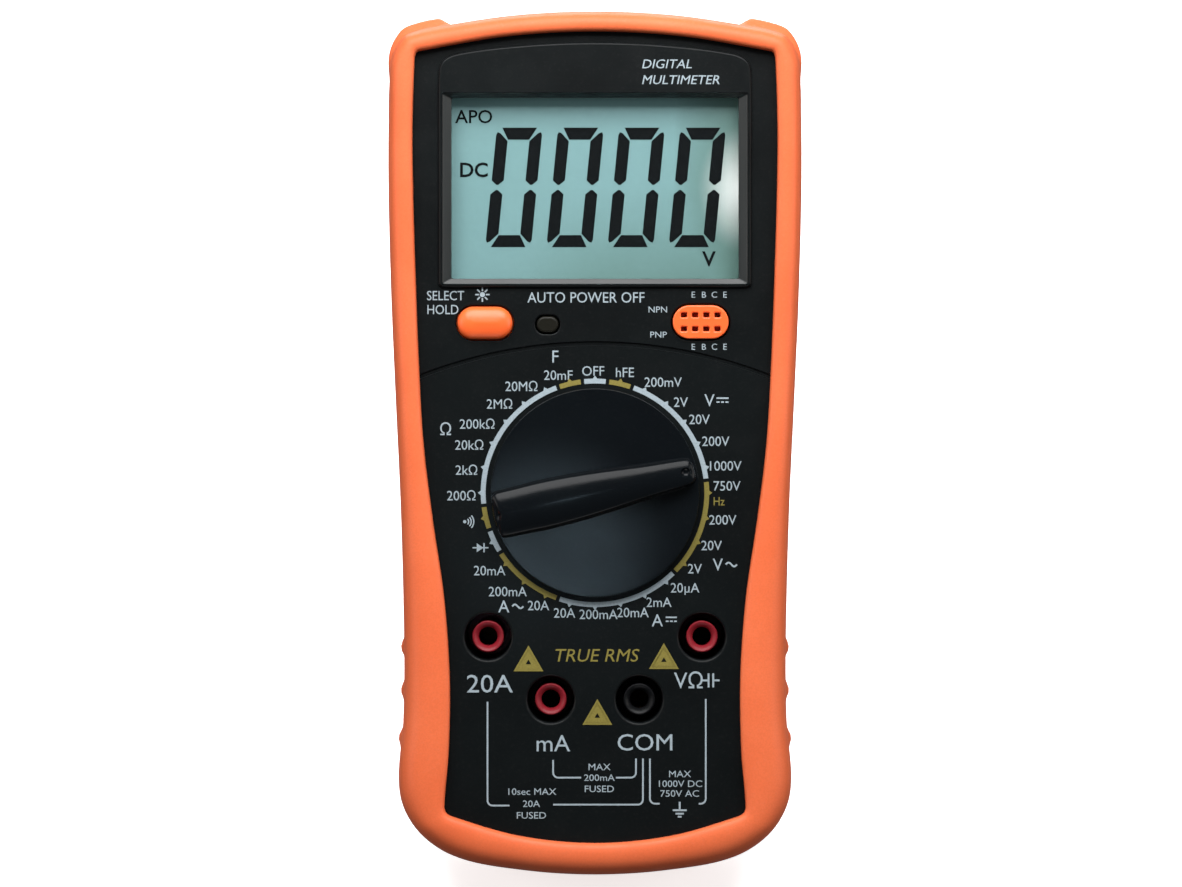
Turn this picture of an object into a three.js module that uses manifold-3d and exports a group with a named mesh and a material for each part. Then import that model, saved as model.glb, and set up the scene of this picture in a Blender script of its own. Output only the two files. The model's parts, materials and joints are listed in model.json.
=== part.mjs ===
// A hand-held digital multimeter in its rubber holster, leaning back on its tilt stand.
// Millimetres. The meter is built lying flat: x to the right, y up its face, z out of its face,
// from the bottom centre of the holster's back. The last section leans it back on its stand.
import * as THREE from 'three';
import { mergeVertices } from 'three/addons/utils/BufferGeometryUtils.js';
import Module from 'manifold-3d';

const wasm = await Module();
wasm.setup();

// ---------------------------------------------------------------- driving dimensions
const LEAN = THREE.MathUtils.degToRad(35); // of the face, back from upright
const GAP = 0.3; // between pieces that touch
const FAR = 250; // past every edge of the meter, for cuts that run right through
const BEYOND = 50; // past its front face

const HOLSTER = { depth: 37, wall: 3, edge: 4.5, rim: 2.2, lipBack: 34.3 };
const HOLSTER_WINDOW = { halfWidth: 33.5, bottom: 9, top: 178.5, corner: 6 };
const FLOOR = 2.1; // height that the floor cuts off the holster's rounded bottom edge
const CASE = { back: 2.5, parting: 17, front: 34, wall: 2.2, backWall: 2.4, blank: 7 };
const CASE_INSET = HOLSTER.wall + GAP;
const INNER_INSET = CASE_INSET + CASE.wall;
const FRONT_UNDER = CASE.front - CASE.wall;

const PLATEAU_TOP = 35; // raised field round the display
const DISPLAY = { halfWidth: 30.2, bottom: 128.4, top: 167.4 };
const FRAME = { side: 2.6, below: 1.25, above: 0.9 }; // sunk border round the display
const LCD = { margin: 2, wall: 2.4, light: 24.8, glass: 27, window: 29.9, top: 31.5, strip: 2.4 };

const SELECTOR = { y: 82.4, positions: 28, discRadius: 22.4, discTop: 36.5, ridgeTop: 41 };
const POSITION_STEP = (2 * Math.PI) / SELECTOR.positions;
const POINTING = Math.PI / 2 - 6 * POSITION_STEP; // six positions clockwise from OFF
const DIMPLE = { x: 20, radius: 1.15, depth: 1.2 };
const HUB_RADIUS = 9;
const KEY_RADIUS = 4.5;
const ROTOR = { radius: 20, bottom: 26.4, top: 30.2 };
const WIPER = { radii: [9, 13, 17], half: 4, halfWidth: 0.8, back: 24.95 };
const DETENT = { crest: 22, notch: 0.7, outer: 25, ball: 1.4, ballAt: 20.3, pocketFloor: 13.2 };

const BUTTON = { x: -23.65, y: 118.9, width: 11.9, height: 7, top: 36.2, flange: 2.4, flangeBack: 29.9 };
const SWITCH = { half: 3, top: 27.3, plunger: 1.6, plungerBack: 26.5, plungerTop: 28 };
const LAMP = { x: -10.2, y: 118.6, width: 4.8, height: 3.6 };
const SOCKET = { x: 22.7, y: 119.1, width: 12, height: 7.2, pitch: 2.4, rowGap: 3 };

const JACK = { well: 5, wellWall: 1.4, sleeve: 3.4, mouth: 2, bore: 2.85, contact: 2.55, pin: 2.05 };
const JACK_LEVEL = { bottom: 13, sleeveTop: 33.2, contactTop: 29.7, lug: 10.3, lugThick: 1 };
const LUG_REACH = 8.3;
const LUG_HALF = 1.3;
const JACKS = [
  { name: '20a', x: -23, y: 51.5, lug: 1, red: true },
  { name: 'ma', x: -9.5, y: 38, lug: -1, red: true },
  { name: 'com', x: 9.5, y: 38, lug: -1, red: false },
  { name: 'v', x: 23, y: 51.5, lug: 1, red: true },
];

const BOARD = { bottom: 22.9, top: 24.5, low: 11, high: 172 };
const BATTERY = { width: 48.5, height: 26.5, depth: 17.5, y: 114.5, back: 5.1, snap: 2.4, play: 0.6 };
const LEAD = { radius: 0.6, levels: { red: 10, black: 15 } };
const DOOR = { halfWidth: 28, bottom: 98, top: 136, thick: 1.6, ledge: 2, ledgeThick: 1.8 };
const DOOR_POST = { y: 132.2, radius: 4, top: 6, boss: 5.6, bossTop: 14, bore: 1.7 };

const HINGE = { y: 92, z: 3.4, barrel: 2.5, lug: 2.7, boss: 4.6, halfWidth: 25.4, lugEnd: 29.6 };
const PIN = { radius: 1.2, end: 28.5 };
const STAND = { opened: THREE.MathUtils.degToRad(51), outer: 0.9, thick: 3 };
const RECESS = { halfWidth: 25.9, bottom: 10.4, floor: 4.3, wall: 2.2, rim: 2.4 };

const CASE_SCREWS = [[-29.9, 19.5], [29.9, 19.5], [-27, 175.7], [27, 175.7]];
const BOARD_SCREWS = [[-31, 88], [31, 88]];
const CASE_SCREW = { head: 2.9, headBack: 3.1, headHeight: 1.9, shank: 1.3, end: 27 };
const BOARD_SCREW = { head: 2.6, headBack: 20.9, headHeight: 1.7, shank: 1.1, end: 29 };
const DOOR_SCREW = { head: 2.6, headBack: 2.9, headHeight: 1.2, shank: 1.25, end: 12 };
const KNOB_SCREW = { head: 3, headBack: 25, headHeight: 1.1, shank: 1.2, end: 31 };
const FRONT_BOSS = { radius: 3.4, bore: 1.7 };
const BOARD_BOSS = { radius: 3, bore: 1.4 };
const REAR_BOSS = { radius: 4.6, bore: 1.8, seat: 3.3, seatDepth: 5.3 };

// ---------------------------------------------------------------- solids
function solidOf(geometry) {
  const plain = geometry.clone();
  plain.deleteAttribute('normal');
  plain.deleteAttribute('uv');
  const merged = mergeVertices(plain, 1e-4);
  return new wasm.Manifold(new wasm.Mesh({
    numProp: 3,
    vertProperties: new Float32Array(merged.attributes.position.array),
    triVerts: new Uint32Array(merged.index.array),
  }));
}

function geometryOf(solid) {
  const mesh = solid.getMesh();
  const geometry = new THREE.BufferGeometry();
  geometry.setAttribute('position', new THREE.BufferAttribute(mesh.vertProperties, 3));
  geometry.setIndex(new THREE.BufferAttribute(mesh.triVerts, 1));
  geometry.computeVertexNormals();
  return geometry;
}

const join = (first, ...rest) =>
  geometryOf(rest.reduce((made, next) => made.add(solidOf(next)), solidOf(first)));
const cut = (first, ...rest) =>
  geometryOf(rest.reduce((made, next) => made.subtract(solidOf(next)), solidOf(first)));
const common = (first, second) => geometryOf(solidOf(first).intersect(solidOf(second)));

function block(x0, x1, y0, y1, z0, z1) {
  return new THREE.BoxGeometry(x1 - x0, y1 - y0, z1 - z0)
    .translate((x0 + x1) / 2, (y0 + y1) / 2, (z0 + z1) / 2);
}

// A round bar along z.
function post(x, y, radius, z0, z1, sides = 18) {
  return new THREE.CylinderGeometry(radius, radius, z1 - z0, sides)
    .rotateX(Math.PI / 2).translate(x, y, (z0 + z1) / 2);
}

// A round bar along x.
function rod(y, z, radius, x0, x1, sides = 16) {
  return new THREE.CylinderGeometry(radius, radius, x1 - x0, sides)
    .rotateZ(Math.PI / 2).translate((x0 + x1) / 2, y, z);
}

// A round wire through the points.
function wire(points, radius) {
  const section = new THREE.Shape();
  section.absarc(0, 0, radius, 0, 2 * Math.PI);
  const route = new THREE.CatmullRomCurve3(points.map(([x, y, z]) => new THREE.Vector3(x, y, z)));
  return new THREE.ExtrudeGeometry(section, { steps: 12, curveSegments: 4, extrudePath: route });
}

function plate(points, z0, z1) {
  return new THREE.ExtrudeGeometry(new THREE.Shape(points), { depth: z1 - z0, bevelEnabled: false })
    .translate(0, 0, z0);
}

// A plate whose edges are rounded at both faces.
function roundedPlate(points, z0, z1, edge, steps) {
  return new THREE.ExtrudeGeometry(new THREE.Shape(points), {
    depth: z1 - z0 - 2 * edge,
    bevelThickness: edge,
    bevelSize: edge,
    bevelOffset: -edge,
    bevelSegments: steps,
  }).translate(0, 0, z0 + edge);
}

// ---------------------------------------------------------------- outlines
const OUTLINE_STEPS = 26; // along each half

// Closes a right-hand half, from bottom centre to top centre, with its mirror image.
function mirrored(right) {
  const left = right.slice(1, -1).reverse().map((p) => new THREE.Vector2(-p.x, p.y));
  return [...right, ...left];
}

// Moves every point of a closed outline inwards, at right angles to the outline.
function inset(points, distance) {
  return points.map((p, i) => {
    const before = points[(i + points.length - 1) % points.length];
    const after = points[(i + 1) % points.length];
    const along = after.clone().sub(before).normalize();
    return new THREE.Vector2(p.x - along.y * distance, p.y + along.x * distance);
  });
}

const spline = (path, points) => path.splineThru(points.map(([x, y]) => new THREE.Vector2(x, y)));

// The holster from the front: curved bottom, waist beside the jacks, wider display end.
function holsterOutline() {
  const half = new THREE.Path();
  half.moveTo(0, 0);
  half.quadraticCurveTo(15, 0, 30, 3.7);
  half.bezierCurveTo(35.5, 5, 41.8, 11, 42.3, 18);
  spline(half, [[41.35, 34], [41.2, 50], [41.9, 78], [43, 102], [44, 125], [44.7, 150], [44.3, 173]]);
  half.bezierCurveTo(44.1, 179.5, 41, 182, 34, 182.95);
  half.quadraticCurveTo(17, 186.2, 0, 186.2);
  return mirrored(half.getSpacedPoints(OUTLINE_STEPS));
}

// The opening in the holster's front lip, which frames the panel.
function panelOutline() {
  const half = new THREE.Path();
  half.moveTo(0, 7.2);
  half.quadraticCurveTo(15.5, 7.2, 31, 12.9);
  half.quadraticCurveTo(32.3, 13.4, 32.3, 15.2);
  spline(half, [[31.4, 27], [31.2, 43], [32.4, 60], [34.8, 76.6], [36.8, 93], [37.8, 110]]);
  spline(half, [[38.5, 128], [39, 145], [39.2, 160], [38.8, 174.6]]);
  half.quadraticCurveTo(38.8, 177, 37, 177.4);
  half.quadraticCurveTo(18.5, 181.5, 0, 181.5);
  return mirrored(half.getSpacedPoints(OUTLINE_STEPS));
}

// The raised field round the display: square below, its top following the panel's arc.
function plateauOutline() {
  const half = new THREE.Path();
  half.moveTo(0, 126.6);
  half.lineTo(33.6, 126.6);
  half.lineTo(33.6, 172.5);
  half.quadraticCurveTo(33.6, 176, 30, 176.6);
  half.quadraticCurveTo(15, 179.2, 0, 179.2);
  return mirrored(half.getPoints(6));
}

function roundedRectangle(x0, x1, y0, y1, radius, steps = 4) {
  const shape = new THREE.Shape();
  shape.moveTo(x0 + radius, y0);
  shape.lineTo(x1 - radius, y0);
  shape.absarc(x1 - radius, y0 + radius, radius, -Math.PI / 2, 0);
  shape.lineTo(x1, y1 - radius);
  shape.absarc(x1 - radius, y1 - radius, radius, 0, Math.PI / 2);
  shape.lineTo(x0 + radius, y1);
  shape.absarc(x0 + radius, y1 - radius, radius, Math.PI / 2, Math.PI);
  shape.lineTo(x0, y0 + radius);
  shape.absarc(x0 + radius, y0 + radius, radius, Math.PI, 1.5 * Math.PI);
  const points = shape.getPoints(steps);
  return points.filter((p, i) => p.distanceTo(points[(i + 1) % points.length]) > 0.01);
}

function stadium({ x, y, width, height }, grow = 0) {
  const w = width / 2 + grow;
  const h = height / 2 + grow;
  return roundedRectangle(x - w, x + w, y - h, y + h, h - 0.05);
}

// Everything under the floor, seen from the meter lying flat.
function underFloor() {
  return block(-FAR, FAR, -FAR, FAR, -FAR, FLOOR).rotateX(LEAN - Math.PI / 2);
}

// ---------------------------------------------------------------- the scene graph
const meter = new THREE.Group();
const selector = new THREE.Group();
selector.position.set(0, SELECTOR.y, 0);
selector.rotation.z = POINTING;
const stand = new THREE.Group();
stand.position.set(0, HINGE.y, HINGE.z);
stand.rotation.x = STAND.opened;
meter.add(selector, stand);

function add(name, geometry, [color, roughness, metalness], parent = meter) {
  const mesh = new THREE.Mesh(geometry, new THREE.MeshStandardMaterial({ color, roughness, metalness }));
  mesh.name = name;
  parent.add(mesh);
}

const ORANGE_RUBBER = [0xf57843, 0.6, 0];
const ORANGE_PLASTIC = [0xf4793f, 0.4, 0];
const BLACK_PLASTIC = [0x1e2224, 0.45, 0];
const KNOB_BLACK = [0x14181b, 0.4, 0];
const CLEAR = [0xcfe0e0, 0.08, 0];
const LCD_GREEN = [0x9dbcb4, 0.3, 0];
const WHITE_PLASTIC = [0xe8e8e2, 0.5, 0];
const JACK_RED = [0xb02a3c, 0.4, 0];
const BOARD_GREEN = [0x1d5a38, 0.5, 0];
const BRASS = [0xc9a24a, 0.3, 1];
const STEEL = [0xb8bcc0, 0.3, 1];
const RUBBER_PINK = [0xc98f8a, 0.7, 0];
const BATTERY_BLUE = [0x2c4f8f, 0.4, 0.2];
const CAPACITOR_BLUE = [0x24406e, 0.4, 0.1];
const LEAD_RED = [0xb02020, 0.5, 0];
const LEAD_BLACK = [0x151515, 0.5, 0];
const RESISTANCE_WIRE = [0xb5834a, 0.35, 1];
const LENS_RED = [0x2a1a16, 0.2, 0];

// ---------------------------------------------------------------- holster
const PAD = { back: 6, front: 30 };
const RIB = { x: 39.2, radius: 2.9, back: 7, front: 30, heights: [29.5, 39.7, 49] };

// A proud pad on each top corner, behind the lip.
function cornerPad(side) {
  const outline = [[29.8, 181], [31.6, 184], [34.5, 185.2], [39.4, 183.9], [42.6, 181.2],
    [44.1, 177.4], [44.3, 172], [40, 170], [31, 176]];
  return plate(outline.map(([x, y]) => new THREE.Vector2(side * x, y)), PAD.back, PAD.front);
}

// Upright ribs for the fingers, three beside the jacks on each side.
function gripRibs() {
  return RIB.heights.flatMap((y) => [-1, 1].map(
    (side) => post(side * RIB.x, y, RIB.radius, RIB.back, RIB.front, 12),
  ));
}

function holster() {
  const outline = holsterOutline();
  const outside = join(
    roundedPlate(outline, 0, HOLSTER.depth, HOLSTER.edge, 3),
    cornerPad(1),
    cornerPad(-1),
    ...gripRibs(),
  );
  const { halfWidth, bottom, top, corner } = HOLSTER_WINDOW;
  return cut(
    outside,
    plate(inset(outline, HOLSTER.wall), HOLSTER.rim, HOLSTER.lipBack),
    plate(panelOutline(), HOLSTER.lipBack - 1, HOLSTER.depth + 1),
    plate(roundedRectangle(-halfWidth, halfWidth, bottom, top, corner), -1, HOLSTER.rim + 1),
    underFloor(),
  );
}

// ---------------------------------------------------------------- case shells
function jackWells() {
  const radius = JACK.well + JACK.wellWall;
  return JACKS.map(({ x, y }) => post(x, y, radius, JACK_LEVEL.bottom, CASE.front - 1));
}

function frontCase() {
  const outline = holsterOutline();
  const shell = cut(
    roundedPlate(inset(outline, CASE_INSET), CASE.parting - CASE.blank, CASE.front, 1.2, 2),
    plate(inset(outline, INNER_INSET), 0, FRONT_UNDER),
    block(-FAR, FAR, -FAR, FAR, 0, CASE.parting + GAP),
  );
  const solid = join(
    shell,
    plate(plateauOutline(), CASE.front - 1, PLATEAU_TOP),
    ...jackWells(),
    ...CASE_SCREWS.map(([x, y]) => post(x, y, FRONT_BOSS.radius, CASE.parting + GAP, CASE.front - 1, 12)),
    ...BOARD_SCREWS.map(([x, y]) => post(x, y, BOARD_BOSS.radius, BOARD.top + GAP, CASE.front - 1, 12)),
  );
  const { halfWidth, bottom, top } = DISPLAY;
  const edge = halfWidth + FRAME.side;
  const under = FRONT_UNDER - 1;
  return cut(
    solid,
    block(-edge, edge, bottom - FRAME.below, top + FRAME.above, CASE.front, BEYOND),
    block(-halfWidth, halfWidth, bottom, top, under, BEYOND),
    post(0, SELECTOR.y, HUB_RADIUS + 0.5, under, BEYOND, 32),
    ...[BUTTON, LAMP, SOCKET].map((hole) => plate(stadium(hole, GAP), under, BEYOND)),
    ...JACKS.map(({ x, y }) => post(x, y, JACK.well, 0, BEYOND)),
    ...CASE_SCREWS.map(([x, y]) => post(x, y, FRONT_BOSS.bore, 0, CASE_SCREW.end + 2, 10)),
    ...BOARD_SCREWS.map(([x, y]) => post(x, y, BOARD_BOSS.bore, 0, BOARD_SCREW.end + 1, 10)),
  );
}

function rearCase() {
  const outline = holsterOutline();
  const shell = cut(
    roundedPlate(inset(outline, CASE_INSET), CASE.back, CASE.parting + CASE.blank, 1.6, 2),
    plate(inset(outline, INNER_INSET), CASE.back + CASE.backWall, FAR),
    block(-FAR, FAR, -FAR, FAR, CASE.parting, FAR),
  );
  const door = { edge: DOOR.halfWidth + GAP, low: DOOR.bottom - GAP, high: DOOR.top + GAP };
  const rim = { edge: door.edge + DOOR.ledge, low: door.low - DOOR.ledge, high: door.high + DOOR.ledge };
  const ledge = CASE.back + DOOR.thick + GAP;
  const recess = { edge: RECESS.halfWidth + RECESS.rim, low: RECESS.bottom - RECESS.rim };
  const solid = join(
    shell,
    block(-recess.edge, recess.edge, recess.low, HINGE.y + 5, RECESS.floor, RECESS.floor + RECESS.wall),
    rod(HINGE.y, HINGE.z, HINGE.boss, -HINGE.lugEnd, HINGE.lugEnd, 24),
    block(-rim.edge, rim.edge, rim.low, rim.high, ledge, ledge + DOOR.ledgeThick),
    post(0, DOOR_POST.y, DOOR_POST.boss, ledge, DOOR_POST.bossTop),
    ...CASE_SCREWS.map(([x, y]) => post(x, y, REAR_BOSS.radius, CASE.back + 0.5, CASE.parting, 12)),
  );
  const bay = { x: BATTERY.width / 2 + BATTERY.play, y: BATTERY.height / 2 + BATTERY.play };
  const trimmed = cut(
    solid,
    block(-FAR, FAR, -FAR, FAR, -FAR, CASE.back),
    block(-RECESS.halfWidth, RECESS.halfWidth, RECESS.bottom, HINGE.y, 0, RECESS.floor),
    rod(HINGE.y, HINGE.z, HINGE.barrel + 0.4, -RECESS.halfWidth, RECESS.halfWidth, 24),
    block(-door.edge, door.edge, door.low, door.high, 0, ledge),
    block(-bay.x, bay.x, BATTERY.y - bay.y, BATTERY.y + bay.y, 0, CASE.parting - 2),
    post(0, DOOR_POST.y, DOOR_POST.radius + GAP, 0, DOOR_POST.top + GAP),
    post(0, DOOR_POST.y, DOOR_POST.bore, 0, DOOR_POST.bossTop - 1, 12),
    ...CASE_SCREWS.map(([x, y]) => post(x, y, REAR_BOSS.seat, 0, REAR_BOSS.seatDepth, 14)),
    ...CASE_SCREWS.map(([x, y]) => post(x, y, REAR_BOSS.bore, 0, CASE.parting + 1, 10)),
  );
  const lugs = [-1, 1].map((side) => {
    const ends = [side * (RECESS.halfWidth + 0.2), side * HINGE.lugEnd].sort((a, b) => a - b);
    return rod(HINGE.y, HINGE.z, HINGE.lug, ends[0], ends[1]);
  });
  const pinHole = rod(HINGE.y, HINGE.z, PIN.radius + GAP, -PIN.end - GAP, PIN.end + GAP);
  return cut(join(trimmed, ...lugs), pinHole);
}

function screw(x, y, { head, headBack, headHeight, shank, end }) {
  return join(
    post(x, y, head, headBack, headBack + headHeight, 16),
    post(x, y, shank, headBack + headHeight / 2, end, 10),
  );
}

add('holster', holster(), ORANGE_RUBBER);
add('front_case', frontCase(), BLACK_PLASTIC);
add('rear_case', rearCase(), BLACK_PLASTIC);
CASE_SCREWS.forEach(([x, y], i) => {
  add(`case_screw_${i + 1}`, screw(x, y, CASE_SCREW), STEEL);
});

// ---------------------------------------------------------------- battery compartment
function batteryDoor() {
  const { halfWidth, bottom, top, thick } = DOOR;
  const outline = roundedRectangle(-halfWidth, halfWidth, bottom, top, 1.5, 3);
  const seat = DOOR_SCREW.headBack + DOOR_SCREW.headHeight + GAP;
  return cut(
    join(
      plate(outline, CASE.back, CASE.back + thick),
      post(0, DOOR_POST.y, DOOR_POST.radius, CASE.back, DOOR_POST.top),
    ),
    post(0, DOOR_POST.y, DOOR_SCREW.head + 0.4, 0, seat, 16),
    post(0, DOOR_POST.y, DOOR_SCREW.shank + 0.35, 0, DOOR_POST.top + 1, 12),
  );
}

function battery() {
  const { width, height, depth, y, back, snap } = BATTERY;
  return block(-width / 2, width / 2 - snap - GAP, y - height / 2, y + height / 2, back, back + depth);
}

// The clip on the battery's terminals, a little smaller all round than its end.
function batterySnap() {
  const { width, height, depth, y, back, snap } = BATTERY;
  const half = height / 2 - 0.5;
  return block(width / 2 - snap, width / 2, y - half, y + half, back + 0.9, back + depth - 1.6);
}

// From the snap, down beside the battery and across to the back of the board.
function batteryLead(level) {
  const side = BATTERY.width / 2;
  return wire([
    [side + GAP, BATTERY.y - 5, level],
    [side + 3.5, BATTERY.y - 8, level],
    [30.5, 102, level + 1],
    [30.5, 97, level + 4],
    [level, 96, BOARD.bottom - 3],
    [level, 96, BOARD.bottom - GAP],
  ], LEAD.radius);
}

add('battery_door', batteryDoor(), BLACK_PLASTIC);
add('battery_door_screw', screw(0, DOOR_POST.y, DOOR_SCREW), STEEL);
add('battery_9v', battery(), BATTERY_BLUE);
add('battery_snap', batterySnap(), BLACK_PLASTIC);
add('battery_lead_red', batteryLead(LEAD.levels.red), LEAD_RED);
add('battery_lead_black', batteryLead(LEAD.levels.black), LEAD_BLACK);

// ---------------------------------------------------------------- main board
function mainBoard() {
  const body = common(
    plate(inset(holsterOutline(), INNER_INSET + 0.8), BOARD.bottom, BOARD.top),
    block(-FAR, FAR, BOARD.low, BOARD.high, 0, BEYOND),
  );
  return cut(
    body,
    ...JACKS.map(({ x, y }) => post(x, y, JACK.well + JACK.wellWall + 0.4, 0, BEYOND)),
    ...CASE_SCREWS.map(([x, y]) => post(x, y, FRONT_BOSS.radius + 0.5, 0, BEYOND, 16)),
    ...BOARD_SCREWS.map(([x, y]) => post(x, y, BOARD_BOSS.bore + 0.2, 0, BEYOND, 12)),
  );
}

// A fuse lies under the board in two clips, each a block with a channel open towards the back.
const CLIP = { half: 2, fromEnd: 2.5, wall: 0.9, lip: 0.6 };
const fuseLevel = (radius) => BOARD.bottom - GAP - radius - 1;

function fuseClip(x, y, radius) {
  const z = fuseLevel(radius);
  const outside = radius + CLIP.wall;
  const mouth = radius - CLIP.lip;
  const { half } = CLIP;
  return cut(
    block(x - half, x + half, y - outside, y + outside, z - radius, BOARD.bottom - GAP),
    rod(y, z, radius + GAP, x - half - 1, x + half + 1),
    block(x - half - 1, x + half + 1, y - mouth, y + mouth, z - radius - 1, z),
  );
}

function addFuse(name, y, radius, length) {
  const clip = length / 2 - CLIP.fromEnd;
  add(`fuse_${name}`, rod(y, fuseLevel(radius), radius, -length / 2, length / 2), WHITE_PLASTIC);
  add(`fuse_clip_${name}_left`, fuseClip(-clip, y, radius), STEEL);
  add(`fuse_clip_${name}_right`, fuseClip(clip, y, radius), STEEL);
}

// A stout resistance wire that stands in an arch behind the board.
function shuntWire() {
  const arch = [[-20, GAP], [-19, 6], [-12, 10], [-5, 6], [-4, GAP]];
  return wire(arch.map(([x, depth]) => [x, 68, BOARD.bottom - depth]), 0.9);
}

add('main_board', mainBoard(), BOARD_GREEN);
BOARD_SCREWS.forEach(([x, y], i) => {
  add(`board_screw_${i + 1}`, screw(x, y, BOARD_SCREW), STEEL);
});
add('meter_chip', block(-9, 5, 78, 92, 21, BOARD.bottom - GAP), BLACK_PLASTIC);
add('filter_capacitor', post(-29, 68, 4, 11, BOARD.bottom - GAP), CAPACITOR_BLUE);
add('buzzer_disc', post(20, 76, 10, 19.8, BOARD.bottom - GAP, 28), BRASS);
add('shunt_wire', shuntWire(), RESISTANCE_WIRE);
addFuse('20a', 24.6, 3.15, 32);
addFuse('ma', 14.4, 2.6, 20);

// ---------------------------------------------------------------- display
const LCD_LOW = DISPLAY.bottom - LCD.margin;
const LCD_HIGH = DISPLAY.top + LCD.margin;
const LCD_HALF = DISPLAY.halfWidth + LCD.margin;

// A layer of the display, as wide and high as its holder's opening plus grow.
const layer = (z0, z1, grow = 0) =>
  block(-LCD_HALF - grow, LCD_HALF + grow, LCD_LOW - grow, LCD_HIGH + grow, z0, z1);

function backlight() {
  const low = LCD_LOW + LCD.strip + 1.1;
  return block(-LCD_HALF, LCD_HALF, low, LCD_HIGH, LCD.light, LCD.glass - GAP);
}

function elastomerStrip() {
  const low = LCD_LOW + GAP;
  return block(-28, 28, low, low + LCD.strip, LCD.light, LCD.glass - GAP);
}

add('lcd_holder', cut(layer(BOARD.top + GAP, LCD.top, LCD.wall), layer(0, BEYOND, GAP)), WHITE_PLASTIC);
add('display_window', layer(LCD.window, LCD.top), CLEAR);
add('lcd_panel', layer(LCD.glass, LCD.window - GAP), LCD_GREEN);
add('backlight_panel', backlight(), WHITE_PLASTIC);
add('elastomer_strip', elastomerStrip(), RUBBER_PINK);

// ---------------------------------------------------------------- button, lamp, transistor socket
function functionButton() {
  const { x, y, width, height, top, flange, flangeBack } = BUTTON;
  const wider = { x, y, width: width + flange, height: height + flange };
  return join(
    roundedPlate(stadium(BUTTON), flangeBack + GAP, top, 0.9, 2),
    plate(stadium(wider), flangeBack, flangeBack + 1.5),
    post(x, y, 2, SWITCH.plungerTop + GAP, flangeBack + 0.6, 12),
  );
}

// Its plunger stands in a shallow well and is pressed through it by the button's stem.
function tactSwitch() {
  const { half, top, plunger, plungerBack } = SWITCH;
  const { x, y } = BUTTON;
  return cut(
    block(x - half, x + half, y - half, y + half, BOARD.top + GAP, top),
    post(x, y, plunger + GAP, plungerBack - 1.2, BEYOND, 12),
  );
}

function tactPlunger() {
  return post(BUTTON.x, BUTTON.y, SWITCH.plunger, SWITCH.plungerBack, SWITCH.plungerTop, 12);
}

function indicatorLed() {
  const { x, y } = LAMP;
  return block(x - 1.5, x + 1.5, y - 1, y + 1, BOARD.top + GAP, 26.2);
}

// Two rows of four slots for a transistor's legs.
function transistorSocket() {
  const slot = { x: 0.65, y: 0.5 };
  const slots = [-0.5, 0.5].flatMap((row) => [-1.5, -0.5, 0.5, 1.5].map((column) => {
    const x = SOCKET.x + column * SOCKET.pitch;
    const y = SOCKET.y + row * SOCKET.rowGap;
    return block(x - slot.x, x + slot.x, y - slot.y, y + slot.y, 28, BEYOND);
  }));
  return cut(plate(stadium(SOCKET), BOARD.top + GAP, PLATEAU_TOP - 0.1), ...slots);
}

add('function_button', functionButton(), ORANGE_PLASTIC);
add('tact_plunger', tactPlunger(), BLACK_PLASTIC);
add('tact_switch', tactSwitch(), STEEL);
add('indicator_lens', plate(stadium(LAMP), 26.6, CASE.front - GAP), LENS_RED);
add('indicator_led', indicatorLed(), WHITE_PLASTIC);
add('transistor_socket', transistorSocket(), ORANGE_PLASTIC);

// ---------------------------------------------------------------- test-lead jacks
function jackSleeve({ x, y }) {
  const { bottom, sleeveTop, contactTop } = JACK_LEVEL;
  return cut(
    join(
      post(x, y, JACK.sleeve, bottom + GAP, sleeveTop),
      post(x, y, JACK.well - GAP, bottom + GAP, bottom + 2),
    ),
    post(x, y, JACK.bore, bottom - 1, contactTop + GAP),
    post(x, y, JACK.mouth, bottom, sleeveTop + 1),
  );
}

// A closed brass tube with a solder lug that reaches the board beside the well.
function jackContact({ x, y, lug }) {
  const { lug: back, lugThick, contactTop } = JACK_LEVEL;
  const riser = y + lug * LUG_REACH;
  const strap = [y, riser].sort((a, b) => a - b);
  return cut(
    join(
      post(x, y, JACK.contact, back, contactTop),
      block(x - LUG_HALF, x + LUG_HALF, strap[0], strap[1], back, back + lugThick),
      block(x - LUG_HALF, x + LUG_HALF, riser - 0.6, riser + 0.6, back, BOARD.bottom - GAP),
    ),
    post(x, y, JACK.pin, back + lugThick, contactTop + 1),
  );
}

for (const jack of JACKS) {
  add(`jack_sleeve_${jack.name}`, jackSleeve(jack), jack.red ? JACK_RED : BLACK_PLASTIC);
  add(`jack_contact_${jack.name}`, jackContact(jack), BRASS);
}

// ---------------------------------------------------------------- range selector
// Built about its own axis with the pointer along +x.
function selectorKnob() {
  const ridge = [[-21.2, -3.6], [-10, -5], [0, -4.4], [12, -3.2], [20.6, -2], [21.9, 0],
    [20.6, 2], [12, 3.2], [0, 4.4], [-10, 5], [-21.2, 3.6]];
  const outline = ridge.map(([x, y]) => new THREE.Vector2(x, y));
  return cut(
    join(
      post(0, 0, SELECTOR.discRadius, CASE.front + GAP, SELECTOR.discTop, 44),
      roundedPlate(outline, SELECTOR.discTop - 1.6, SELECTOR.ridgeTop, 1.4, 2),
      post(0, 0, HUB_RADIUS, ROTOR.top + GAP, CASE.front + 1, 32),
      post(0, 0, KEY_RADIUS, ROTOR.bottom, CASE.front, 6),
    ),
    post(DIMPLE.x, 0, DIMPLE.radius, SELECTOR.ridgeTop - DIMPLE.depth, BEYOND, 12),
    post(0, 0, KNOB_SCREW.shank + GAP, 0, KNOB_SCREW.end + 1, 12),
  );
}

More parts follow.
